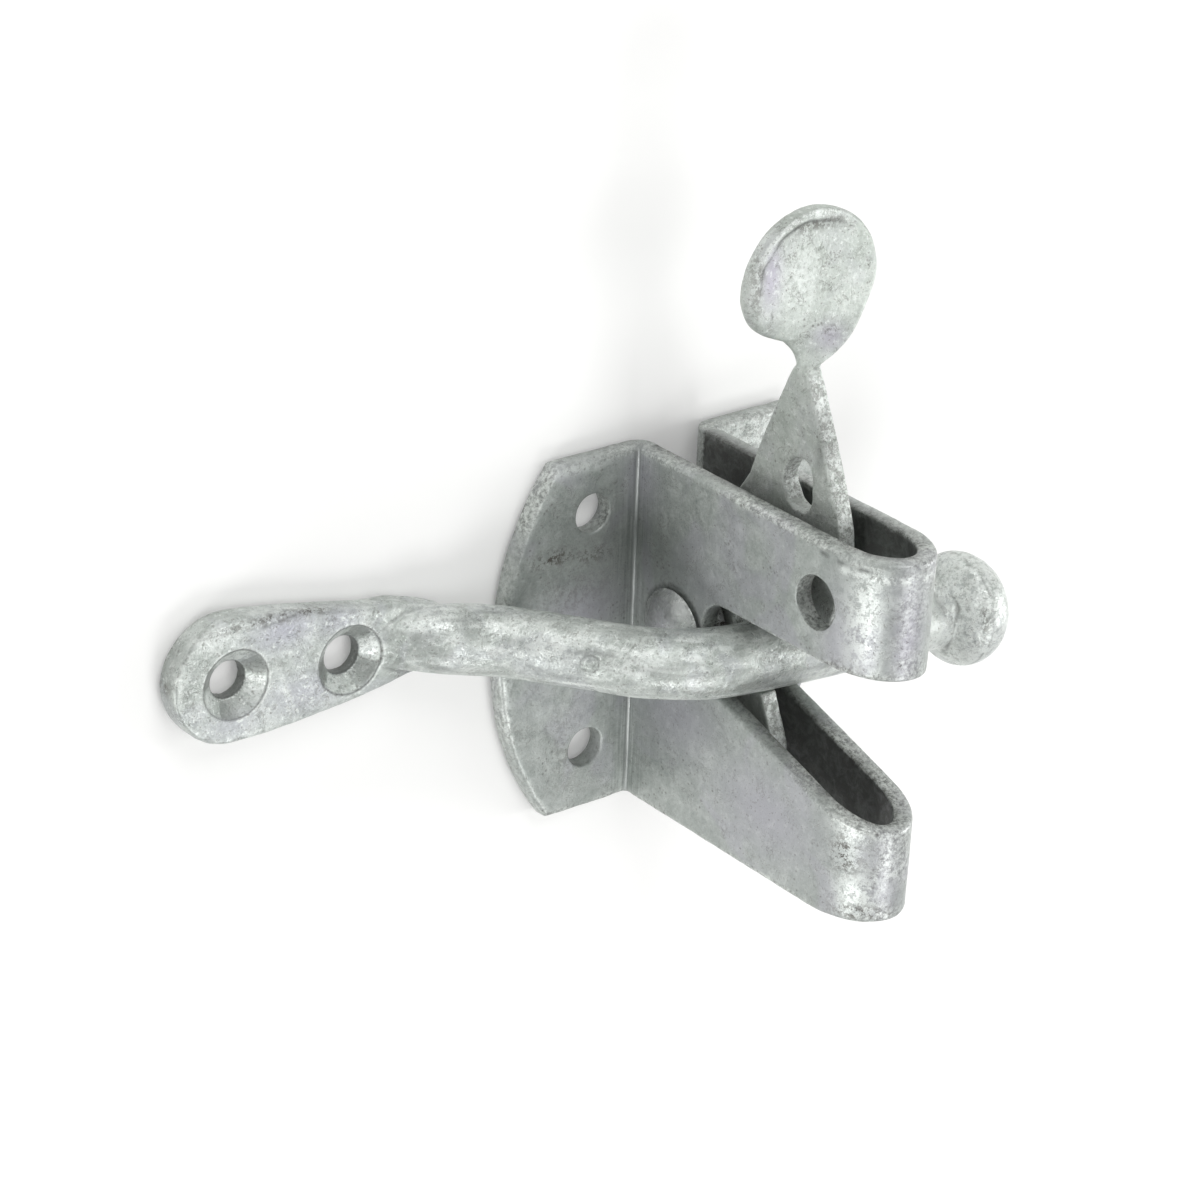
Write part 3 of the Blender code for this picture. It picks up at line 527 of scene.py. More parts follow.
# painted contact shadow: a dark ring on the left wall round the rivet's head
from_rivet = np.hypot(points[:, 1] - RIVET_Y, points[:, 2] - RIVET_UP)
lay(local, STAIN_AND_SHADE, 0.9 * np.exp(-((from_rivet - RIVET_RING) / 0.5) ** 2) * (points[:, 0] < 10.0))
catch = dipped(catch_mesh, "catch_strip", "catch", "catch_body", local)
catch.data.materials.append(zinc(
    "strip_zinc", dim=(0.29, 0.32, 0.30), mid=(0.40, 0.43, 0.41), pale=(0.54, 0.575, 0.55),
    lilac=(0.435, 0.425, 0.48), cloud=20.0, mottle=2.4, lilac_share=0.45, bright_share=0.15, pits=0.45,
    roughness=0.42, relief=0.30, lines=0.35, crease_shade=(0.44, 0.46, 0.45), rims=0.42, veins=0.35))

# The rivet that carries the lever: a low domed head on the left wall and a peened
# end on the right one, set before dipping. Two plain rings keep the lever upright
# between the walls; they stay as the solids that the frame gives.
RIVET = (CATCH_X, RIVET_Y, RIVET_UP)
HEAD_SEAT, HEAD_RADIUS, HEAD_RISE = 8.5, 7.2, 2.7
PEEN_RADIUS, PEEN_RISE = 6.3, 2.2
SHANK_RADIUS = 4.0


def turned(profile, sides=72):
    """A closed skin turned about the X axis from (along, radius) points."""
    angle = np.linspace(0.0, 2 * math.pi, sides, endpoint=False)
    along, radius = profile[:, :1], profile[:, 1:]
    grid = np.stack([along + 0 * angle, radius * np.cos(angle), radius * np.sin(angle)], axis=-1)
    return grid.reshape(-1, 3), bands(np.arange(grid.shape[0] * sides).reshape(-1, sides))


def dome(seat, rise, radius):
    """A rivet head's profile from its seat: a short side, then a low round dome whose
    height falls ever faster towards its edge."""
    share = np.linspace(1.0, 0.0, 18)
    side = math.copysign(1.0, rise)
    crown = np.column_stack([seat + rise * (0.12 + 0.88 * (1 - share ** 2.8)), radius * share])
    return np.vstack([[(seat, radius - 0.3)], [(seat + 0.15 * side, radius)], crown])


head, peen = dome(-HEAD_SEAT, -HEAD_RISE, HEAD_RADIUS), dome(HEAD_SEAT, PEEN_RISE, PEEN_RADIUS)
head[-1, 1] = peen[-1, 1] = 1e-5
shank = np.column_stack([np.linspace(-HEAD_SEAT, HEAD_SEAT, 24), np.full(24, SHANK_RADIUS)])
skin, faces = turned(np.vstack([head[::-1], shank, peen]))
rivet_mesh = closed_mesh("rivet", skin + RIVET, faces)
RIVET_MARKS = [
    # painted highlight: a bright crescent on the dome's front side; painted shade: its side towards the
    # fixing plane is darker
    (BRIGHT_AND_HIGHLIGHT, (6.7, -19.1, 4.0), (2.5, 1.7, 4.2), 1.0), (STAIN_AND_SHADE, (7.0, -10.5, 4.0), (3.0, 3.6, 6.0), 0.46),
    (LILAC, (6.4, RIVET_Y, RIVET_UP), (2.0, 3.5, 4.0), 0.7),
]
rivet = dipped(rivet_mesh, "rivet_pin", "catch", "rivet",
               marks(coordinates(rivet_mesh) / MM, RIVET_MARKS), rounds=4)
rivet_zinc = zinc("rivet_zinc", dim=(0.36, 0.38, 0.37), mid=(0.50, 0.52, 0.51), pale=(0.68, 0.70, 0.69),
                  lilac=(0.54, 0.53, 0.58), cloud=6.0, shift=0.013, roughness=0.26, relief=0.25)
rivet.data.materials.append(rivet_zinc)
for name in ("spacer_left", "spacer_right"):
    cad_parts[name].data.materials.clear()
    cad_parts[name].data.materials.append(rivet_zinc)

# The thumb lever: one piece of flat bar, 3.6 mm thick, with its hook and padlock
# hole stamped, and its upper end drawn to a thin neck, twisted a quarter turn and
# hammered out to a round tab. It turns on the rivet.
BLADE = 3.6
NECK_UP, NECK_OUT, NECK_HALF = 51.8, 20.3, 1.65
NECK_ROOT, NECK_TWIST = 6.0, math.radians(75.0)
TAB_UP, TAB_OUT, TAB_HALF, TAB_RISE, TAB_DEPTH = 66.2, 19.7, 13.5, 12.7, 1.75
TAB_BELLY, LEFT_FLARE, RIGHT_FLARE = 9.8, 2.2, 1.2
BAR_AT, BAR_CLEAR = np.array([14.26, -1.166]), 6.4
DROP = math.radians(27.7)
ROOT_RADIUS, BACK_LOW, BACK_MIDDLE = 10.0, (9.4, 30.4), (13.0, 40.0)
FRONT_MIDDLE, SHOULDER, TOOTH_MIDDLE = (28.2, 39.4), (32.5, 28.0), (32.9, 18.0)
HEEL_FRONT, HEEL_BACK = (19.2, -15.6), (8.6, -20.2)
TOE_REACH, TOE_ANGLE = 27.0, math.radians(-57.0)
PADLOCK_OUT, PADLOCK_OVER, PADLOCK_FILL = 35.2, 18.4, 0.42
LIP, LIP_TURN = 0.86, math.radians(122.0)


def arc_through(first, middle, last):
    """Points of the circle through three points, found from the two equations that
    make its centre equally far from them."""
    a, b, c = (np.array(p, float) for p in (first, middle, last))
    centre = np.linalg.solve(2 * np.array([b - a, c - a]), [b @ b - a @ a, c @ c - a @ a])
    start = math.atan2(*(a - centre)[::-1])
    turn = math.remainder(math.atan2(*(c - centre)[::-1]) - start, 2 * math.pi)
    return arc(centre, math.dist(a, centre), start, start + turn)


def blade_loop():
    """The blade's outline in (out, up) from the rivet. The notch is the bar's path
    as the lever drops: two arcs about the rivet joined by a half circle."""
    reach, angle = math.hypot(*BAR_AT), math.atan2(BAR_AT[1], BAR_AT[0])
    outer, inner, end = reach + BAR_CLEAR, reach - BAR_CLEAR, angle + DROP
    channel = BAR_AT[1] + BAR_CLEAR
    tooth = (outer + 9.0, channel + 1.6)
    cap = (reach * math.cos(end), reach * math.sin(end))
    toe = (TOE_REACH * math.cos(TOE_ANGLE), TOE_REACH * math.sin(TOE_ANGLE))
    return np.vstack([
        arc_through((NECK_OUT + NECK_HALF + 0.3, NECK_UP + 0.8), FRONT_MIDDLE, SHOULDER),
        arc_through(SHOULDER, TOOTH_MIDDLE, tooth)[1:],
        [(tooth[0] - 1.4, channel)],
        arc((0, 0), outer, math.asin(channel / outer), end),
        arc(cap, BAR_CLEAR, end, end + math.pi)[1:],
        arc((0, 0), inner, end, angle)[1:],
        arc(BAR_AT, BAR_CLEAR, angle + math.pi, math.radians(282.0))[1:],
        arc_through(HEEL_FRONT, toe, HEEL_BACK),
        arc((0, 0), ROOT_RADIUS, math.radians(-100.0), math.radians(-222.0)),
        arc_through(BACK_LOW, BACK_MIDDLE, (NECK_OUT - NECK_HALF, NECK_UP + 0.2)),
    ])


def tab_skin(rows=46, sides=56):
    """Neck and tab as one closed skin. Each row is a rounded slab at one height: its
    half width follows an ellipse above the tab's middle and a cosine curve down to
    the neck, and it turns out of the tab's plane towards the neck."""
    low = np.linspace(NECK_UP - NECK_ROOT, NECK_UP, 8, endpoint=False)
    waist = np.linspace(NECK_UP, TAB_UP, rows // 2, endpoint=False)
    crown = TAB_UP + TAB_RISE * np.sin(np.linspace(0.0, math.pi / 2, rows // 2))
    up = np.concatenate([low, waist, crown])
    climb = np.clip((up - NECK_UP) / (TAB_UP - NECK_UP), 0.0, 1.0)
    above = np.sqrt(np.clip(1 - ((up - TAB_UP) / TAB_RISE) ** 2, 1e-4, 1.0))
    flare = np.cos((1 - climb) * math.pi / 2)
    belly = TAB_HALF * np.sqrt(np.clip(1 - ((TAB_UP - up) / TAB_BELLY) ** 2, 0.0, 1.0))
    left = np.maximum(belly, NECK_HALF + (TAB_HALF - NECK_HALF) * flare ** LEFT_FLARE)
    right_side = NECK_HALF + (TAB_HALF - NECK_HALF) * flare ** RIGHT_FLARE
    wide = np.where(up > TAB_UP, TAB_HALF * above, (left + right_side) / 2)
    shift = np.where(up > TAB_UP, 0.0, (right_side - left) / 2)[:, None]
    ease = climb * climb * (3 - 2 * climb)
    deep = NECK_HALF + (TAB_DEPTH - NECK_HALF) * ease
    sink = np.clip((NECK_UP - up) / NECK_ROOT, 0.0, 1.0)
    wide, deep = wide * (1 - 0.15 * sink), deep * (1 - 0.35 * sink)
    deep = deep * np.where(up > TAB_UP, 0.55 + 0.45 * np.sqrt(above), 1.0)
    twist = NECK_TWIST * (1 - climb) ** 3
    angle = np.linspace(0.0, 2 * math.pi, sides, endpoint=False)
    corner = np.minimum(wide, deep)[:, None] * 0.85
    u = (wide[:, None] - corner) * np.sign(np.cos(angle)) + corner * np.cos(angle) + shift
    v = (deep[:, None] - corner) * np.sign(np.sin(angle)) + corner * np.sin(angle)
    out = (NECK_OUT + (TAB_OUT - NECK_OUT) * ease)[:, None]
    cos, sin = np.cos(twist)[:, None], np.sin(twist)[:, None]
    skin = np.stack([u * cos - v * sin, out + u * sin + v * cos, up[:, None] + 0 * u], axis=-1)
    index = np.arange(skin.shape[0] * sides).reshape(-1, sides)
    return skin.reshape(-1, 3), bands(index) + [index[0].tolist(), index[-1].tolist()]


def fused(meshes, cutters, voxel):
    """Closed skins melted into one: joined, holes cut, rebuilt as an even skin of
    small cells, and smoothed a little, as the zinc rounds every join."""
    bm = bmesh.new()
    for mesh in meshes:
        bm.from_mesh(mesh)
    whole = bpy.data.meshes.new("melt")
    bm.to_mesh(whole)
    bm.free()
    rough, tools = shown("melt", whole), []
    for number, cutter in enumerate(cutters):
        tool = shown(f"melt_cut_{number}", cutter)
        cut = rough.modifiers.new("cut", "BOOLEAN")
        cut.operation, cut.solver, cut.use_self, cut.object = "DIFFERENCE", "EXACT", True, tool
        tools.append(tool)
    melt = rough.modifiers.new("melt", "REMESH")
    melt.mode, melt.voxel_size, melt.adaptivity = "VOXEL", voxel * MM, 0.0
    bpy.context.view_layer.update()
    result = bpy.data.meshes.new_from_object(rough.evaluated_get(bpy.context.evaluated_depsgraph_get()))
    for made in [rough] + tools:
        bpy.data.objects.remove(made)
    points = smoothed(result, coordinates(result), 1)
    result.vertices.foreach_set("co", points.astype(np.float32).ravel())
    result.update()
    return result


blade = even(blade_loop(), 0.45)[::-1]
reach, angle = math.hypot(PADLOCK_OUT, PADLOCK_OVER), math.atan2(PADLOCK_OVER, PADLOCK_OUT) + DROP
padlock = hole(0.0, 0.0, PADLOCK_HOLE)
padlock *= 1 - PADLOCK_FILL * np.clip(padlock[:, :1] / (PADLOCK_HOLE / 2), 0.0, 1.0) ** 2
padlock *= 1 - 0.05 * (1 + lumps(np.column_stack([padlock, padlock[:, :1]]), 1.3))[:, None]
padlock += (reach * math.cos(angle), reach * math.sin(angle))
grid = np.stack(np.meshgrid(np.arange(-12.0, 36.0, 1.2), np.arange(-24.0, 54.0, 1.2)), axis=-1).reshape(-1, 2)
flat, faces = pressed_sheet([blade, hole(0.0, 0.0, RIVET_HOLE), padlock],
                            [(0.7, 0.7), (0.3, 0.3), (0.4, 0.4)], grid, BLADE)
blade_skin = np.column_stack([RIVET[0] + flat[:, 2], RIVET[1] - flat[:, 0], RIVET[2] + flat[:, 1]])
tab, tab_faces = tab_skin()
tab = np.column_stack([RIVET[0] + tab[:, 0], RIVET[1] - tab[:, 1], RIVET[2] + tab[:, 2]])
lever_mesh = fused([closed_mesh("blade", blade_skin, faces), closed_mesh("tab", tab, tab_faces)],
                   [], voxel=0.3)
LEVER_MARKS = [
    (STAIN_AND_SHADE, (15.7, -41.2, 43.6), (3.0, 1.6, 6.0), 0.55),
    (STAIN_AND_SHADE, (15.7, -30.0, 36.0), (3.0, 8.0, 9.0), 0.25),
    (STAIN_AND_SHADE, (17.5, -37.1, 35.9), (3.0, 4.8, 4.8), 0.45), (STAIN_AND_SHADE, (4.0, -34.5, 70.0), (1.8, 2.6, 8.0), 0.22),
    (LILAC, (8.4, -36.0, 72.5), (2.2, 3.0, 5.6), 1.0), (LILAC, (20.0, -37.0, 60.6), (3.0, 3.0, 2.4), 0.8),
    (BRIGHT_AND_HIGHLIGHT, (14.0, -36.0, 71.0), (4.0, 3.0, 6.0), 0.7),
    (BRIGHT_AND_HIGHLIGHT, (19.5, -36.5, 56.2), (1.8, 3.0, 2.0), 1.0),
    (BRIGHT_AND_HIGHLIGHT, (17.5, -43.5, 42.0), (1.4, 3.2, 14.0), 0.8),
    (BRIGHT_AND_HIGHLIGHT, (6.0, -34.2, 76.0), (4.0, 1.0, 7.0), 0.7), (CRUST, (28.6, -36.0, 71.0), (0.8, 2.0, 0.8), 1.0),
    (CRUST, (5.6, -35.4, 72.0), (1.2, 2.5, 8.0), 0.6), (CRUST, (17.0, -36.0, 79.5), (7.0, 3.0, 1.0), 0.7),
    (CRUST, (17.5, -37.0, 36.0), (3.0, 4.5, 4.5), 0.5), (CRUST, (20.6, -36.0, 61.5), (1.4, 2.0, 0.9), 0.8),
]
points, normals = coordinates(lever_mesh) / MM, coordinates(lever_mesh, "vector")
across, above = (points[:, 0] - CATCH_X) / TAB_HALF, (points[:, 2] - RIVET[2] - TAB_UP) / TAB_RISE
from_middle, turn = np.hypot(across, above), np.arctan2(above, across)
facing = (normals[:, 1] < -0.6) & (points[:, 2] > RIVET[2] + NECK_UP + 3.0)
upper_left = facing * np.clip(np.cos(turn - LIP_TURN) * 2.4 - 0.7, 0.0, 1.0)
lip = LIP + 0.035 * lumps(points, 5.0) + 0.014 * lumps(points, 1.9)
broken = np.clip(0.65 + 0.9 * lumps(points, 3.3, 4.4), 0.1, 1.0)
groove = upper_left * broken * np.exp(-((from_middle - lip) / 0.020) ** 2)
points[:, 1] += 0.16 * groove + 0.10 * upper_left * broken * (from_middle < lip)
move(lever_mesh, points)
local = marks(points, LEVER_MARKS)
# painted shadow of the tab's lip, laid in the groove on its upper left
lay(local, STAIN_AND_SHADE, 0.85 * groove)
lay(local, BRIGHT_AND_HIGHLIGHT, 0.9 * (upper_left * np.clip((from_middle - lip - 0.02) / 0.04, 0.0, 1.0)))
on_blade = np.clip((RIVET[2] + NECK_UP - points[:, 2]) / 2.0 + 0.5, 0.0, 1.0)
# painted highlight: the blade's faces that look forward are brightened, and carry dark specks; painted shade:
# its side faces, which stand between the walls, are darkened
front = on_blade * (normals[:, 1] < -0.72)
lay(local, BRIGHT_AND_HIGHLIGHT, front)
lay(local, CRUST, 0.45 * front)
lay(local, STAIN_AND_SHADE, 0.22 * on_blade * (np.abs(normals[:, 0]) > 0.8))
lever = dipped(lever_mesh, "thumb_lever", "lever", "lever", local, coat=0.07, swell=0.12)
lever.data.materials.append(zinc(
    "lever_zinc", dim=(0.40, 0.44, 0.40), mid=(0.54, 0.585, 0.545), pale=(0.71, 0.75, 0.71),
    lilac=(0.50, 0.485, 0.55), cloud=11.0, mottle=1.7, shift=0.031, lilac_share=0.15, bright_share=0.60,
    roughness=0.46, relief=0.7, fleck_size=1.1))

# The striker: one forging, screwed to the gate. A flat plate with two countersunk
# holes is drawn out into a 12 mm round bar, cranked out to the catch's mouth and
# across it, and a knob is upset on the bar's end.
BAR = 6.0
BAR_OUT = 28.76
BAR_UP = 2.034
STRIKER_TILT = math.radians(2.9)
CORNER, LIFT, CRANK = -17.7, 22.76, math.radians(42.5)
OUTER_BEND, FOOT_BEND = 28.0, 16.0
BLEND, PLATE_LENGTH, END_RADIUS, NECK_HALF_HEIGHT, HALF_PLATE = 10.0, 40.75, 10.9, 7.9, 2.5
HOLE_NEAR, HOLE_SPACING = 18.6, 21.7
KNOB_START, KNOB_LENGTH, KNOB_RADIUS, KNOB_WIDEST = 37.45, 13.3, 10.1, 0.42
KNOB_LINES = (37.4, 42.3)
SINK_TOP, SINK_DEPTH, DRILL, PAST, SCREW_LOW = 8.6, 2.7, 3.05, 2.5, 0.6
WALL_LINE, CONE_LOW, CONE_HIGH, RIM_LINE, GLINT_LINE = 3.25, 3.4, 5.7, 5.95, 6.3
DENT_AT, DENT_RADIUS, DENT_DEPTH = (-15.1, -23.0, 6.5), 1.5, 0.2
FLAT_AT, FLAT_OUT, FLAT_DEPTH = np.array([56.3, -33.4, 5.6]), np.array([-0.664, -0.402, 0.631]), 0.35


def ease(value):
    """From 0 to 1 as the value goes from 0 to 1, level at both ends."""
    value = np.clip(value, 0.0, 1.0)
    return value * value * (3 - 2 * value)


foot = CORNER - LIFT / math.tan(CRANK)
blend_end = foot - FOOT_BEND * math.tan(CRANK / 2)
blend_start = blend_end - BLEND
end_centre = blend_end - PLATE_LENGTH


def axis_rise(x):
    """How far the axis rises towards the plate: a soft bend, a flatter plate, and a
    low hump where they meet."""
    slope = 0.075 * 6.0 * np.log1p(np.exp((4.175 - x) / 6.0))
    hump = np.exp(-((x - blend_start - 4.5) / 7.5) ** 2)
    return slope - 0.055 * np.maximum(blend_start - x, 0.0) + hump


def lofted(rows, sides=96):
    """A closed skin over sections along the striker. Each row holds arrays of the
    place along, the way out, the turn, half height, half depth and corner radius of
    its sections, and all sections rise and tilt with the striker's axis."""
    x, out, turn, tall, deep, corner = (np.concatenate(part)[:, None] for part in zip(*rows))
    angle = (np.arange(sides) + 0.5) / sides * 2 * math.pi
    corner = np.minimum(corner, np.minimum(tall, deep))
    u = (tall - corner) * np.sign(np.cos(angle)) + corner * np.cos(angle)
    v = (deep - corner) * np.sign(np.sin(angle)) + corner * np.sin(angle)
    rise = axis_rise(x) - axis_rise(0.0)
    skin = np.stack([x + v * np.sin(turn), out + v * np.cos(turn), rise + u], axis=-1)
    index = np.arange(skin.shape[0] * sides).reshape(-1, sides)
    return at_throat(skin.reshape(-1, 3)), bands(index) + [index[0].tolist(), index[-1].tolist()]


def pinched(along):
    """How much narrower the plate is near the place where the bar grows out of it."""
    return 0.8 * np.exp(-((along - 2.0) / 7.0) ** 2)


def plate_rows():
    """The plate's sections: a round end hammered thinner, and edges that close in to
    the bar and then under it."""
    rows = []
    turn = np.linspace(0.03, math.pi / 2, 28)
    x = end_centre - END_RADIUS * np.cos(turn)
    deep = HALF_PLATE * (1 - 0.22 * (1 - np.sin(turn)) ** 3)
    rows.append((x, BAR_OUT - deep, 0 * x, END_RADIUS * np.sin(turn), deep, 0 * x + 1.0))
    x = np.linspace(end_centre, blend_start, 44)[1:]
    tall = END_RADIUS + (NECK_HALF_HEIGHT - END_RADIUS) * ease((x - end_centre) / (blend_start - end_centre))
    pinch = pinched(x - blend_start)
    rows.append((x, 0 * x + BAR_OUT - HALF_PLATE, 0 * x, tall - pinch, 0 * x + HALF_PLATE, 0 * x + 1.1))
    along = np.linspace(0.0, 14.0, 30)[1:]
    tall = NECK_HALF_HEIGHT - 0.25 * along - pinched(along) - 1.6 * ease((along - 10.0) / 4.0)
    deep = HALF_PLATE - 0.9 * ease((along - 9.0) / 5.0)
    rows.append((blend_start + along, BAR_OUT - deep, 0 * along, tall, deep, 0 * along + 1.1))
    return rows


def bar_rows():
    """The bar's sections: a cone that grows out of the plate's face, the crank in two
    bends, the straight bar and the knob. All are round, and the cone's back stays on
    the gate."""
    share = np.linspace(0.0, 1.0, 30)
    tall, deep = 3.2 + (BAR - 3.2) * ease(share) ** 0.5, 2.4 + (BAR - 2.4) * ease(share)
    rows = [(blend_start - 6.0 + (blend_end - blend_start + 6.0) * share, BAR_OUT - deep, 0 * share,
             tall, deep, np.minimum(tall, deep))]
    turn = np.linspace(0.0, CRANK, 22)[1:]
    full = 0 * turn + BAR
    x, out = blend_end + FOOT_BEND * np.sin(turn), LIFT - FOOT_BEND * (1 - np.cos(turn))
    rows.append((x, out, turn, full, full, full))
    turn = np.linspace(CRANK, 0.0, 34)
    full = 0 * turn + BAR
    x = CORNER + OUTER_BEND * math.tan(CRANK / 2) - OUTER_BEND * np.sin(turn)
    rows.append((x, OUTER_BEND * (1 - np.cos(turn)), turn, full, full, full))
    x = np.linspace(x[-1], KNOB_START, 40)[1:]
    full = 0 * x + BAR
    rows.append((x, 0 * x, 0 * x, full, full, full))
    widest = KNOB_START + KNOB_LENGTH * KNOB_WIDEST
    share = np.linspace(0.0, 1.0, 18)[1:]
    round_ = BAR + (KNOB_RADIUS - BAR) * np.sin(share * math.pi / 2) ** 0.8
    rows.append((KNOB_START + (widest - KNOB_START) * share, 0 * share, 0 * share, round_, round_, round_))
    turn = np.linspace(0.0, math.pi / 2, 26)[1:]
    round_ = KNOB_RADIUS * np.maximum(np.cos(turn), 0.02)
    x = widest + (KNOB_START + KNOB_LENGTH - widest) * np.sin(turn)
    rows.append((x, 0 * turn, 0 * turn, round_, round_, round_))
    return rows


def at_throat(points):
    """Points about the bar's middle in the throat, tilted with the bar and placed."""
    x, y, z = points.T
    cos, sin = math.cos(STRIKER_TILT), math.sin(STRIKER_TILT)
    return np.column_stack([CATCH_X + x * cos + z * sin, y - BAR_OUT, BAR_UP - x * sin + z * cos])


def screw_rise(x):
    """How high a screw hole's middle lies: a little under the plate's axis."""
    return float(axis_rise(x) - axis_rise(0.0)) - SCREW_LOW


def screw_tool(x):
    """The cutter of one hole: a cone that is 11.9 mm wide at the face, down to a
    drill that the zinc has narrowed to 6.1 mm."""
    face = BAR_OUT - 2 * HALF_PLATE
    profile = np.array([(face - PAST, 1e-5), (face - PAST, SINK_TOP), (face + SINK_DEPTH, DRILL),
                        (BAR_OUT + PAST, DRILL), (BAR_OUT + PAST, 1e-5)])
    skin, faces = turned(profile)
    return closed_mesh("screw_tool", at_throat(skin[:, [1, 0, 2]] + (x, 0.0, screw_rise(x))), faces)


screw_places = [blend_end - HOLE_NEAR - i * HOLE_SPACING for i in range(2)]
screw_middles = [at_throat(np.array([[x, BAR_OUT - 2 * HALF_PLATE, screw_rise(x)]]))[0] for x in screw_places]
tools = [screw_tool(x) for x in screw_places]
skins = [closed_mesh(name, *lofted(rows)) for name, rows in (("plate", plate_rows()), ("bar", bar_rows()))]
striker_mesh = fused(skins, tools, voxel=0.31)
points = coordinates(striker_mesh) / MM
from_dent = np.linalg.norm(points - DENT_AT, axis=1)
sunk = DENT_DEPTH * np.exp(-((from_dent - DENT_RADIUS) / 0.4) ** 2)
points -= coordinates(striker_mesh, "vector") * sunk[:, None]
near = ease((7.0 - np.linalg.norm(points - FLAT_AT, axis=1)) / 3.0)
over = np.clip((points - FLAT_AT) @ FLAT_OUT + FLAT_DEPTH, 0.0, None) * near
points -= over[:, None] * FLAT_OUT
move(striker_mesh, points)


def scratch(channel, start, end, radius=0.35, strength=0.9):
    """A scratch as a row of small round marks."""
    return [(channel, place, radius, strength) for place in np.linspace(start, end, 24)]


STRIKER_MARKS = scratch(BRIGHT_AND_HIGHLIGHT, (-63.5, -5.0, 12.2), (-60.6, -5.0, 4.2))
STRIKER_MARKS += scratch(BRIGHT_AND_HIGHLIGHT, (-62.8, -5.0, 10.0), (-61.2, -5.0, 3.0), 0.25)
STRIKER_MARKS += scratch(BRIGHT_AND_HIGHLIGHT, (-78.5, -4.8, 20.0), (-72.0, -5.0, 21.5))
STRIKER_MARKS += scratch(BRIGHT_AND_HIGHLIGHT, (-76.0, -5.0, 18.5), (-73.5, -5.0, 16.0))
STRIKER_MARKS += scratch(STAIN_AND_SHADE, (-66.0, -5.0, 19.5), (-60.0, -5.0, 20.0), 0.3, 0.6)
STRIKER_MARKS += [
    # the bright spots on the knob, from x 54 to 60, are bright zinc and partly painted light on its cone and
    # crown
    (BRIGHT_AND_HIGHLIGHT, (54.0, -34.0, 0.0), (3.5, 5.0, 6.0), 0.9), (STAIN_AND_SHADE, (-80.5, -2.0, 14.0), (3.0, 4.0, 9.0), 0.35),
    (CRUST, (-65.0, -4.8, 20.6), (12.0, 1.2, 0.8), 0.8),
    (BRIGHT_AND_HIGHLIGHT, (-60.0, -3.0, 21.0), (18.0, 1.8, 1.2), 0.8),
    (LILAC, (-62.0, -5.0, 18.0), (7.0, 3.0, 3.5), 0.8), (LILAC, (-58.0, -5.0, 6.0), (9.0, 3.0, 4.0), 0.6),
    (LILAC, (-52.0, -5.0, 17.0), (5.0, 3.0, 3.0), 0.6), (LILAC, (-72.0, -5.0, 4.0), (6.0, 3.0, 3.0), 0.5),
    (BRIGHT_AND_HIGHLIGHT, (-34.3, -8.0, 13.7), (6.0, 4.0, 2.0), 1.0),
    (BRIGHT_AND_HIGHLIGHT, (-19.6, -18.3, 8.5), (7.0, 4.0, 2.4), 1.0), (BRIGHT_AND_HIGHLIGHT, (-9.0, -27.5, 6.5), (7.0, 4.0, 2.2), 0.9),
    (BRIGHT_AND_HIGHLIGHT, (-22.0, -13.1, 11.6), (5.0, 3.0, 2.0), 0.8),
    (BRIGHT_AND_HIGHLIGHT, (60.0, -34.0, 4.0), (4.0, 6.0, 7.0), 0.7), (BRIGHT_AND_HIGHLIGHT, (-74.0, -4.0, 20.0), (6.0, 2.6, 2.0), 1.0),
    (CRUST, (-55.0, -4.6, 19.8), (9.0, 2.0, 0.9), 0.9), (CRUST, (-82.0, -1.8, 12.0), (1.0, 1.6, 1.2), 1.0),
    (BRIGHT_AND_HIGHLIGHT, (57.0, -33.0, 2.5), (12.0, 16.0, 16.0), 1.1),
    (CRUST, (57.0, -34.0, 3.0), (7.0, 9.0, 9.0), 0.2), (CRUST, (58.3, -38.0, 1.3), (0.8, 1.5, 3.0), 0.8),
    (CRUST, (2.0, -33.0, 0.0), (9.0, 4.0, 2.5), 0.4),
]
local = marks(points, STRIKER_MARKS)
x, out = (np.concatenate([row[k] for row in bar_rows()]) for k in (0, 1))
axis = at_throat(np.column_stack([x, out, axis_rise(x) - axis_rise(0.0)]))
beside = [points[:, k] - np.interp(points[:, 0], axis[:, 0], axis[:, k]) for k in (1, 2)]
beside = np.column_stack([0.16 * points[:, 0]] + beside)
streaks = 0.6 * lumps(beside, 1.5, 3.7) + 0.4 * lumps(beside, 0.7, 1.9)
on_bar = ease((points[:, 0] + 44.0) / 6.0) * ease((51.0 - points[:, 0]) / 3.0)
lay(local, BRIGHT_AND_HIGHLIGHT, 0.85 * ease((streaks - 0.14) / 0.2) * on_bar)
lay(local, STAIN_AND_SHADE, 0.23 * ease((-streaks - 0.18) / 0.2) * on_bar)
ring = np.clip(0.6 + 0.8 * lumps(points, 1.1, 2.7), 0.1, 1.0)
ring *= np.exp(-((from_dent - DENT_RADIUS) / 0.2) ** 2)
lay(local, STAIN_AND_SHADE, 0.6 * ring)
along = points[:, 0] - CATCH_X - math.sin(STRIKER_TILT) * (points[:, 2] - BAR_UP) + 0.5 * lumps(points, 2.9)
broken = ease((lumps(points, 2.2, 6.1) + 0.35) / 0.4)
for place in KNOB_LINES:
    lay(local, STAIN_AND_SHADE, 0.55 * broken * np.exp(-((along - place) / 0.17) ** 2))
    lay(local, BRIGHT_AND_HIGHLIGHT, 0.7 * broken * np.exp(-((along - place - 0.5) / 0.3) ** 2))
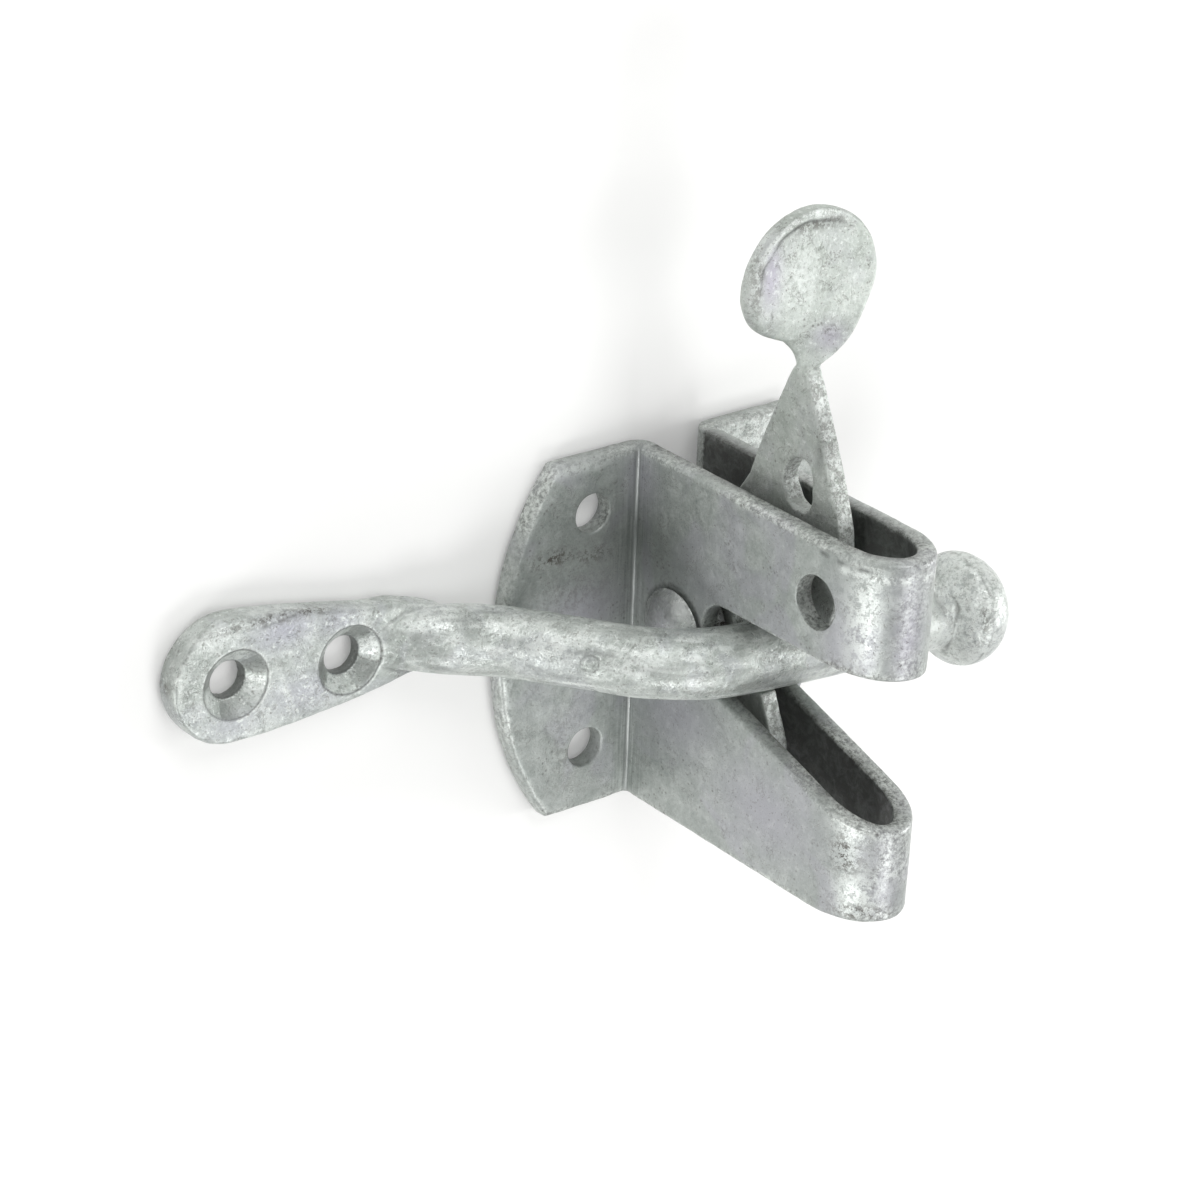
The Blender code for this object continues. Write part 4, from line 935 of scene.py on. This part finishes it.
for number, middle in enumerate(screw_middles):
    aside, above = points[:, 0] - middle[0], points[:, 2] - middle[2]
    from_axis, turn = np.hypot(aside, above), np.arctan2(above, aside)
    front = points[:, 1] < -0.4
    # painted light on the countersinks: the hole's wall is darkened as painted shade, the cone gets bright
    # and dark bands as painted light and shade on facets, the ring at the cone's edge is dark, and a painted
    # glint lies just outside
    rim = 0.8 * np.exp(-((from_axis - RIM_LINE) / 0.16) ** 2) * front
    wall = 0.75 * (from_axis < WALL_LINE) * front
    facet = np.sin(turn * 3.0 + 1.0 + 2.0 * number) + 0.5 * np.sin(turn * 5.0 + 3.0 * number)
    cone = (from_axis > CONE_LOW) & (from_axis < CONE_HIGH) & front
    local[:, :CRUST] *= ~cone[:, None]
    lay(local, STAIN_AND_SHADE, np.max([rim, wall, 0.42 * cone * (facet < -0.35)], axis=0))
    lay(local, BRIGHT_AND_HIGHLIGHT, cone * (facet > 0.25))
    lay(local, BRIGHT_AND_HIGHLIGHT, 0.9 * front * np.exp(-((from_axis - GLINT_LINE) / 0.15) ** 2) * (turn > -1.6))
striker = dipped(striker_mesh, "striker_bar", "striker", "striker", local,
                 coat=0.07, swell=0.16)
striker.data.materials.append(zinc(
    "striker_zinc", dim=(0.36, 0.395, 0.365), mid=(0.53, 0.57, 0.54), pale=(0.80, 0.84, 0.80),
    lilac=(0.50, 0.505, 0.565), cloud=12.0, mottle=2.6, shift=0.052, stretch=(0.75, 1.0, 1.0),
    lilac_share=0.25, bright_share=0.85, roughness=0.32, relief=0.7, fleck_size=1.0, veins=0.35))

# The stage: a pale sheet in the fixing plane that the latch lies against, seen only
# from its front, the soft studio light and the camera at the photo's angle.
SHEET_HALF, SHEET_BEHIND = 3.0, 0.0006
PAPER, PAPER_GLOW, SKY_LEVEL = (0.80, 0.80, 0.79, 1.0), 0.19, 0.47
LAMPS_AIM = Vector((0.01, -0.03, 0.01))
CAMERA_PLACE, CAMERA_LENS, SENSOR = (-0.384644, -0.491618, 0.294433), 122.78, 36.0
wall = bpy.data.meshes.new("backdrop")
wall.from_pydata([(SHEET_HALF * x, SHEET_BEHIND, SHEET_HALF * z)
                  for x, z in ((-1, -1), (1, -1), (1, 1), (-1, 1))], [], [(0, 1, 2, 3)])
backdrop = shown("backdrop", wall)
paper = bpy.data.materials.new("paper")
paper.use_nodes = True
tree = paper.node_tree
tree.nodes.clear()
kinds = ("LightPath", "NewGeometry", "BsdfDiffuse", "Emission", "AddShader", "BsdfTransparent", "MixShader",
         "Math", "Math", "OutputMaterial")
rays, side, matt, glow, both, clear, pick, seen, scale, result = (tree.nodes.new("ShaderNode" + kind)
                                                                  for kind in kinds)
matt.inputs["Color"].default_value = PAPER
seen.operation, scale.operation = "MAXIMUM", "MULTIPLY"
scale.inputs[1].default_value = PAPER_GLOW
for output, socket in (
        (rays.outputs["Is Camera Ray"], seen.inputs[0]), (rays.outputs["Is Glossy Ray"], seen.inputs[1]),
        (seen.outputs[0], scale.inputs[0]), (scale.outputs[0], glow.inputs["Strength"]),
        (matt.outputs[0], both.inputs[0]), (glow.outputs[0], both.inputs[1]),
        (side.outputs["Backfacing"], pick.inputs[0]), (both.outputs[0], pick.inputs[1]),
        (clear.outputs[0], pick.inputs[2]), (pick.outputs[0], result.inputs["Surface"])):
    tree.links.new(output, socket)
wall.materials.append(paper)

world = bpy.data.worlds.new("studio")
bpy.context.scene.world = world
world.use_nodes = True
tree = world.node_tree
sky = tree.nodes["Background"]
rays, seen, level = (tree.nodes.new("ShaderNode" + kind) for kind in ("LightPath", "Math", "MapRange"))
seen.operation = "MAXIMUM"
tree.links.new(rays.outputs["Is Camera Ray"], seen.inputs[0])
tree.links.new(rays.outputs["Is Transmission Ray"], seen.inputs[1])
tree.links.new(seen.outputs[0], level.inputs["Value"])
level.inputs["To Min"].default_value = SKY_LEVEL
level.inputs["To Max"].default_value = 1.0
tree.links.new(level.outputs[0], sky.inputs["Strength"])
sky.inputs["Color"].default_value = (1.0, 1.0, 1.0, 1.0)


def lamp(name, place, size, power):
    """A square soft lamp that faces the middle of the latch."""
    light = bpy.data.lights.new(name, "AREA")
    light.size, light.energy = size, power
    made = shown(name, light)
    made.location = place
    made.rotation_euler = (LAMPS_AIM - Vector(place)).to_track_quat("-Z", "Y").to_euler()


lamp("top_soft", (0.0, -0.78, 1.04), size=0.7, power=4.8)
lamp("right_soft", (1.16, -0.58, -0.10), size=0.5, power=5.6)
lamp("left_soft", (-1.12, -0.45, -0.50), size=0.45, power=5.0)
lamp("low_soft", (0.15, -1.02, -0.80), size=0.5, power=4.2)
lamp("front_soft", (0.25, -1.28, 0.0), size=0.5, power=1.9)

camera = shown("camera", bpy.data.cameras.new("camera"))
right, up, back = (0.79263, -0.60885, 0.03224), (0.23286, 0.35117, 0.90690), (-0.56348, -0.71133, 0.42012)
turn = Matrix((right, up, back)).transposed().to_4x4()
camera.matrix_world = Matrix.Translation(CAMERA_PLACE) @ turn
camera.data.lens, camera.data.sensor_width = CAMERA_LENS, SENSOR
bpy.context.scene.camera = camera
bpy.context.scene.view_settings.view_transform = "Standard"
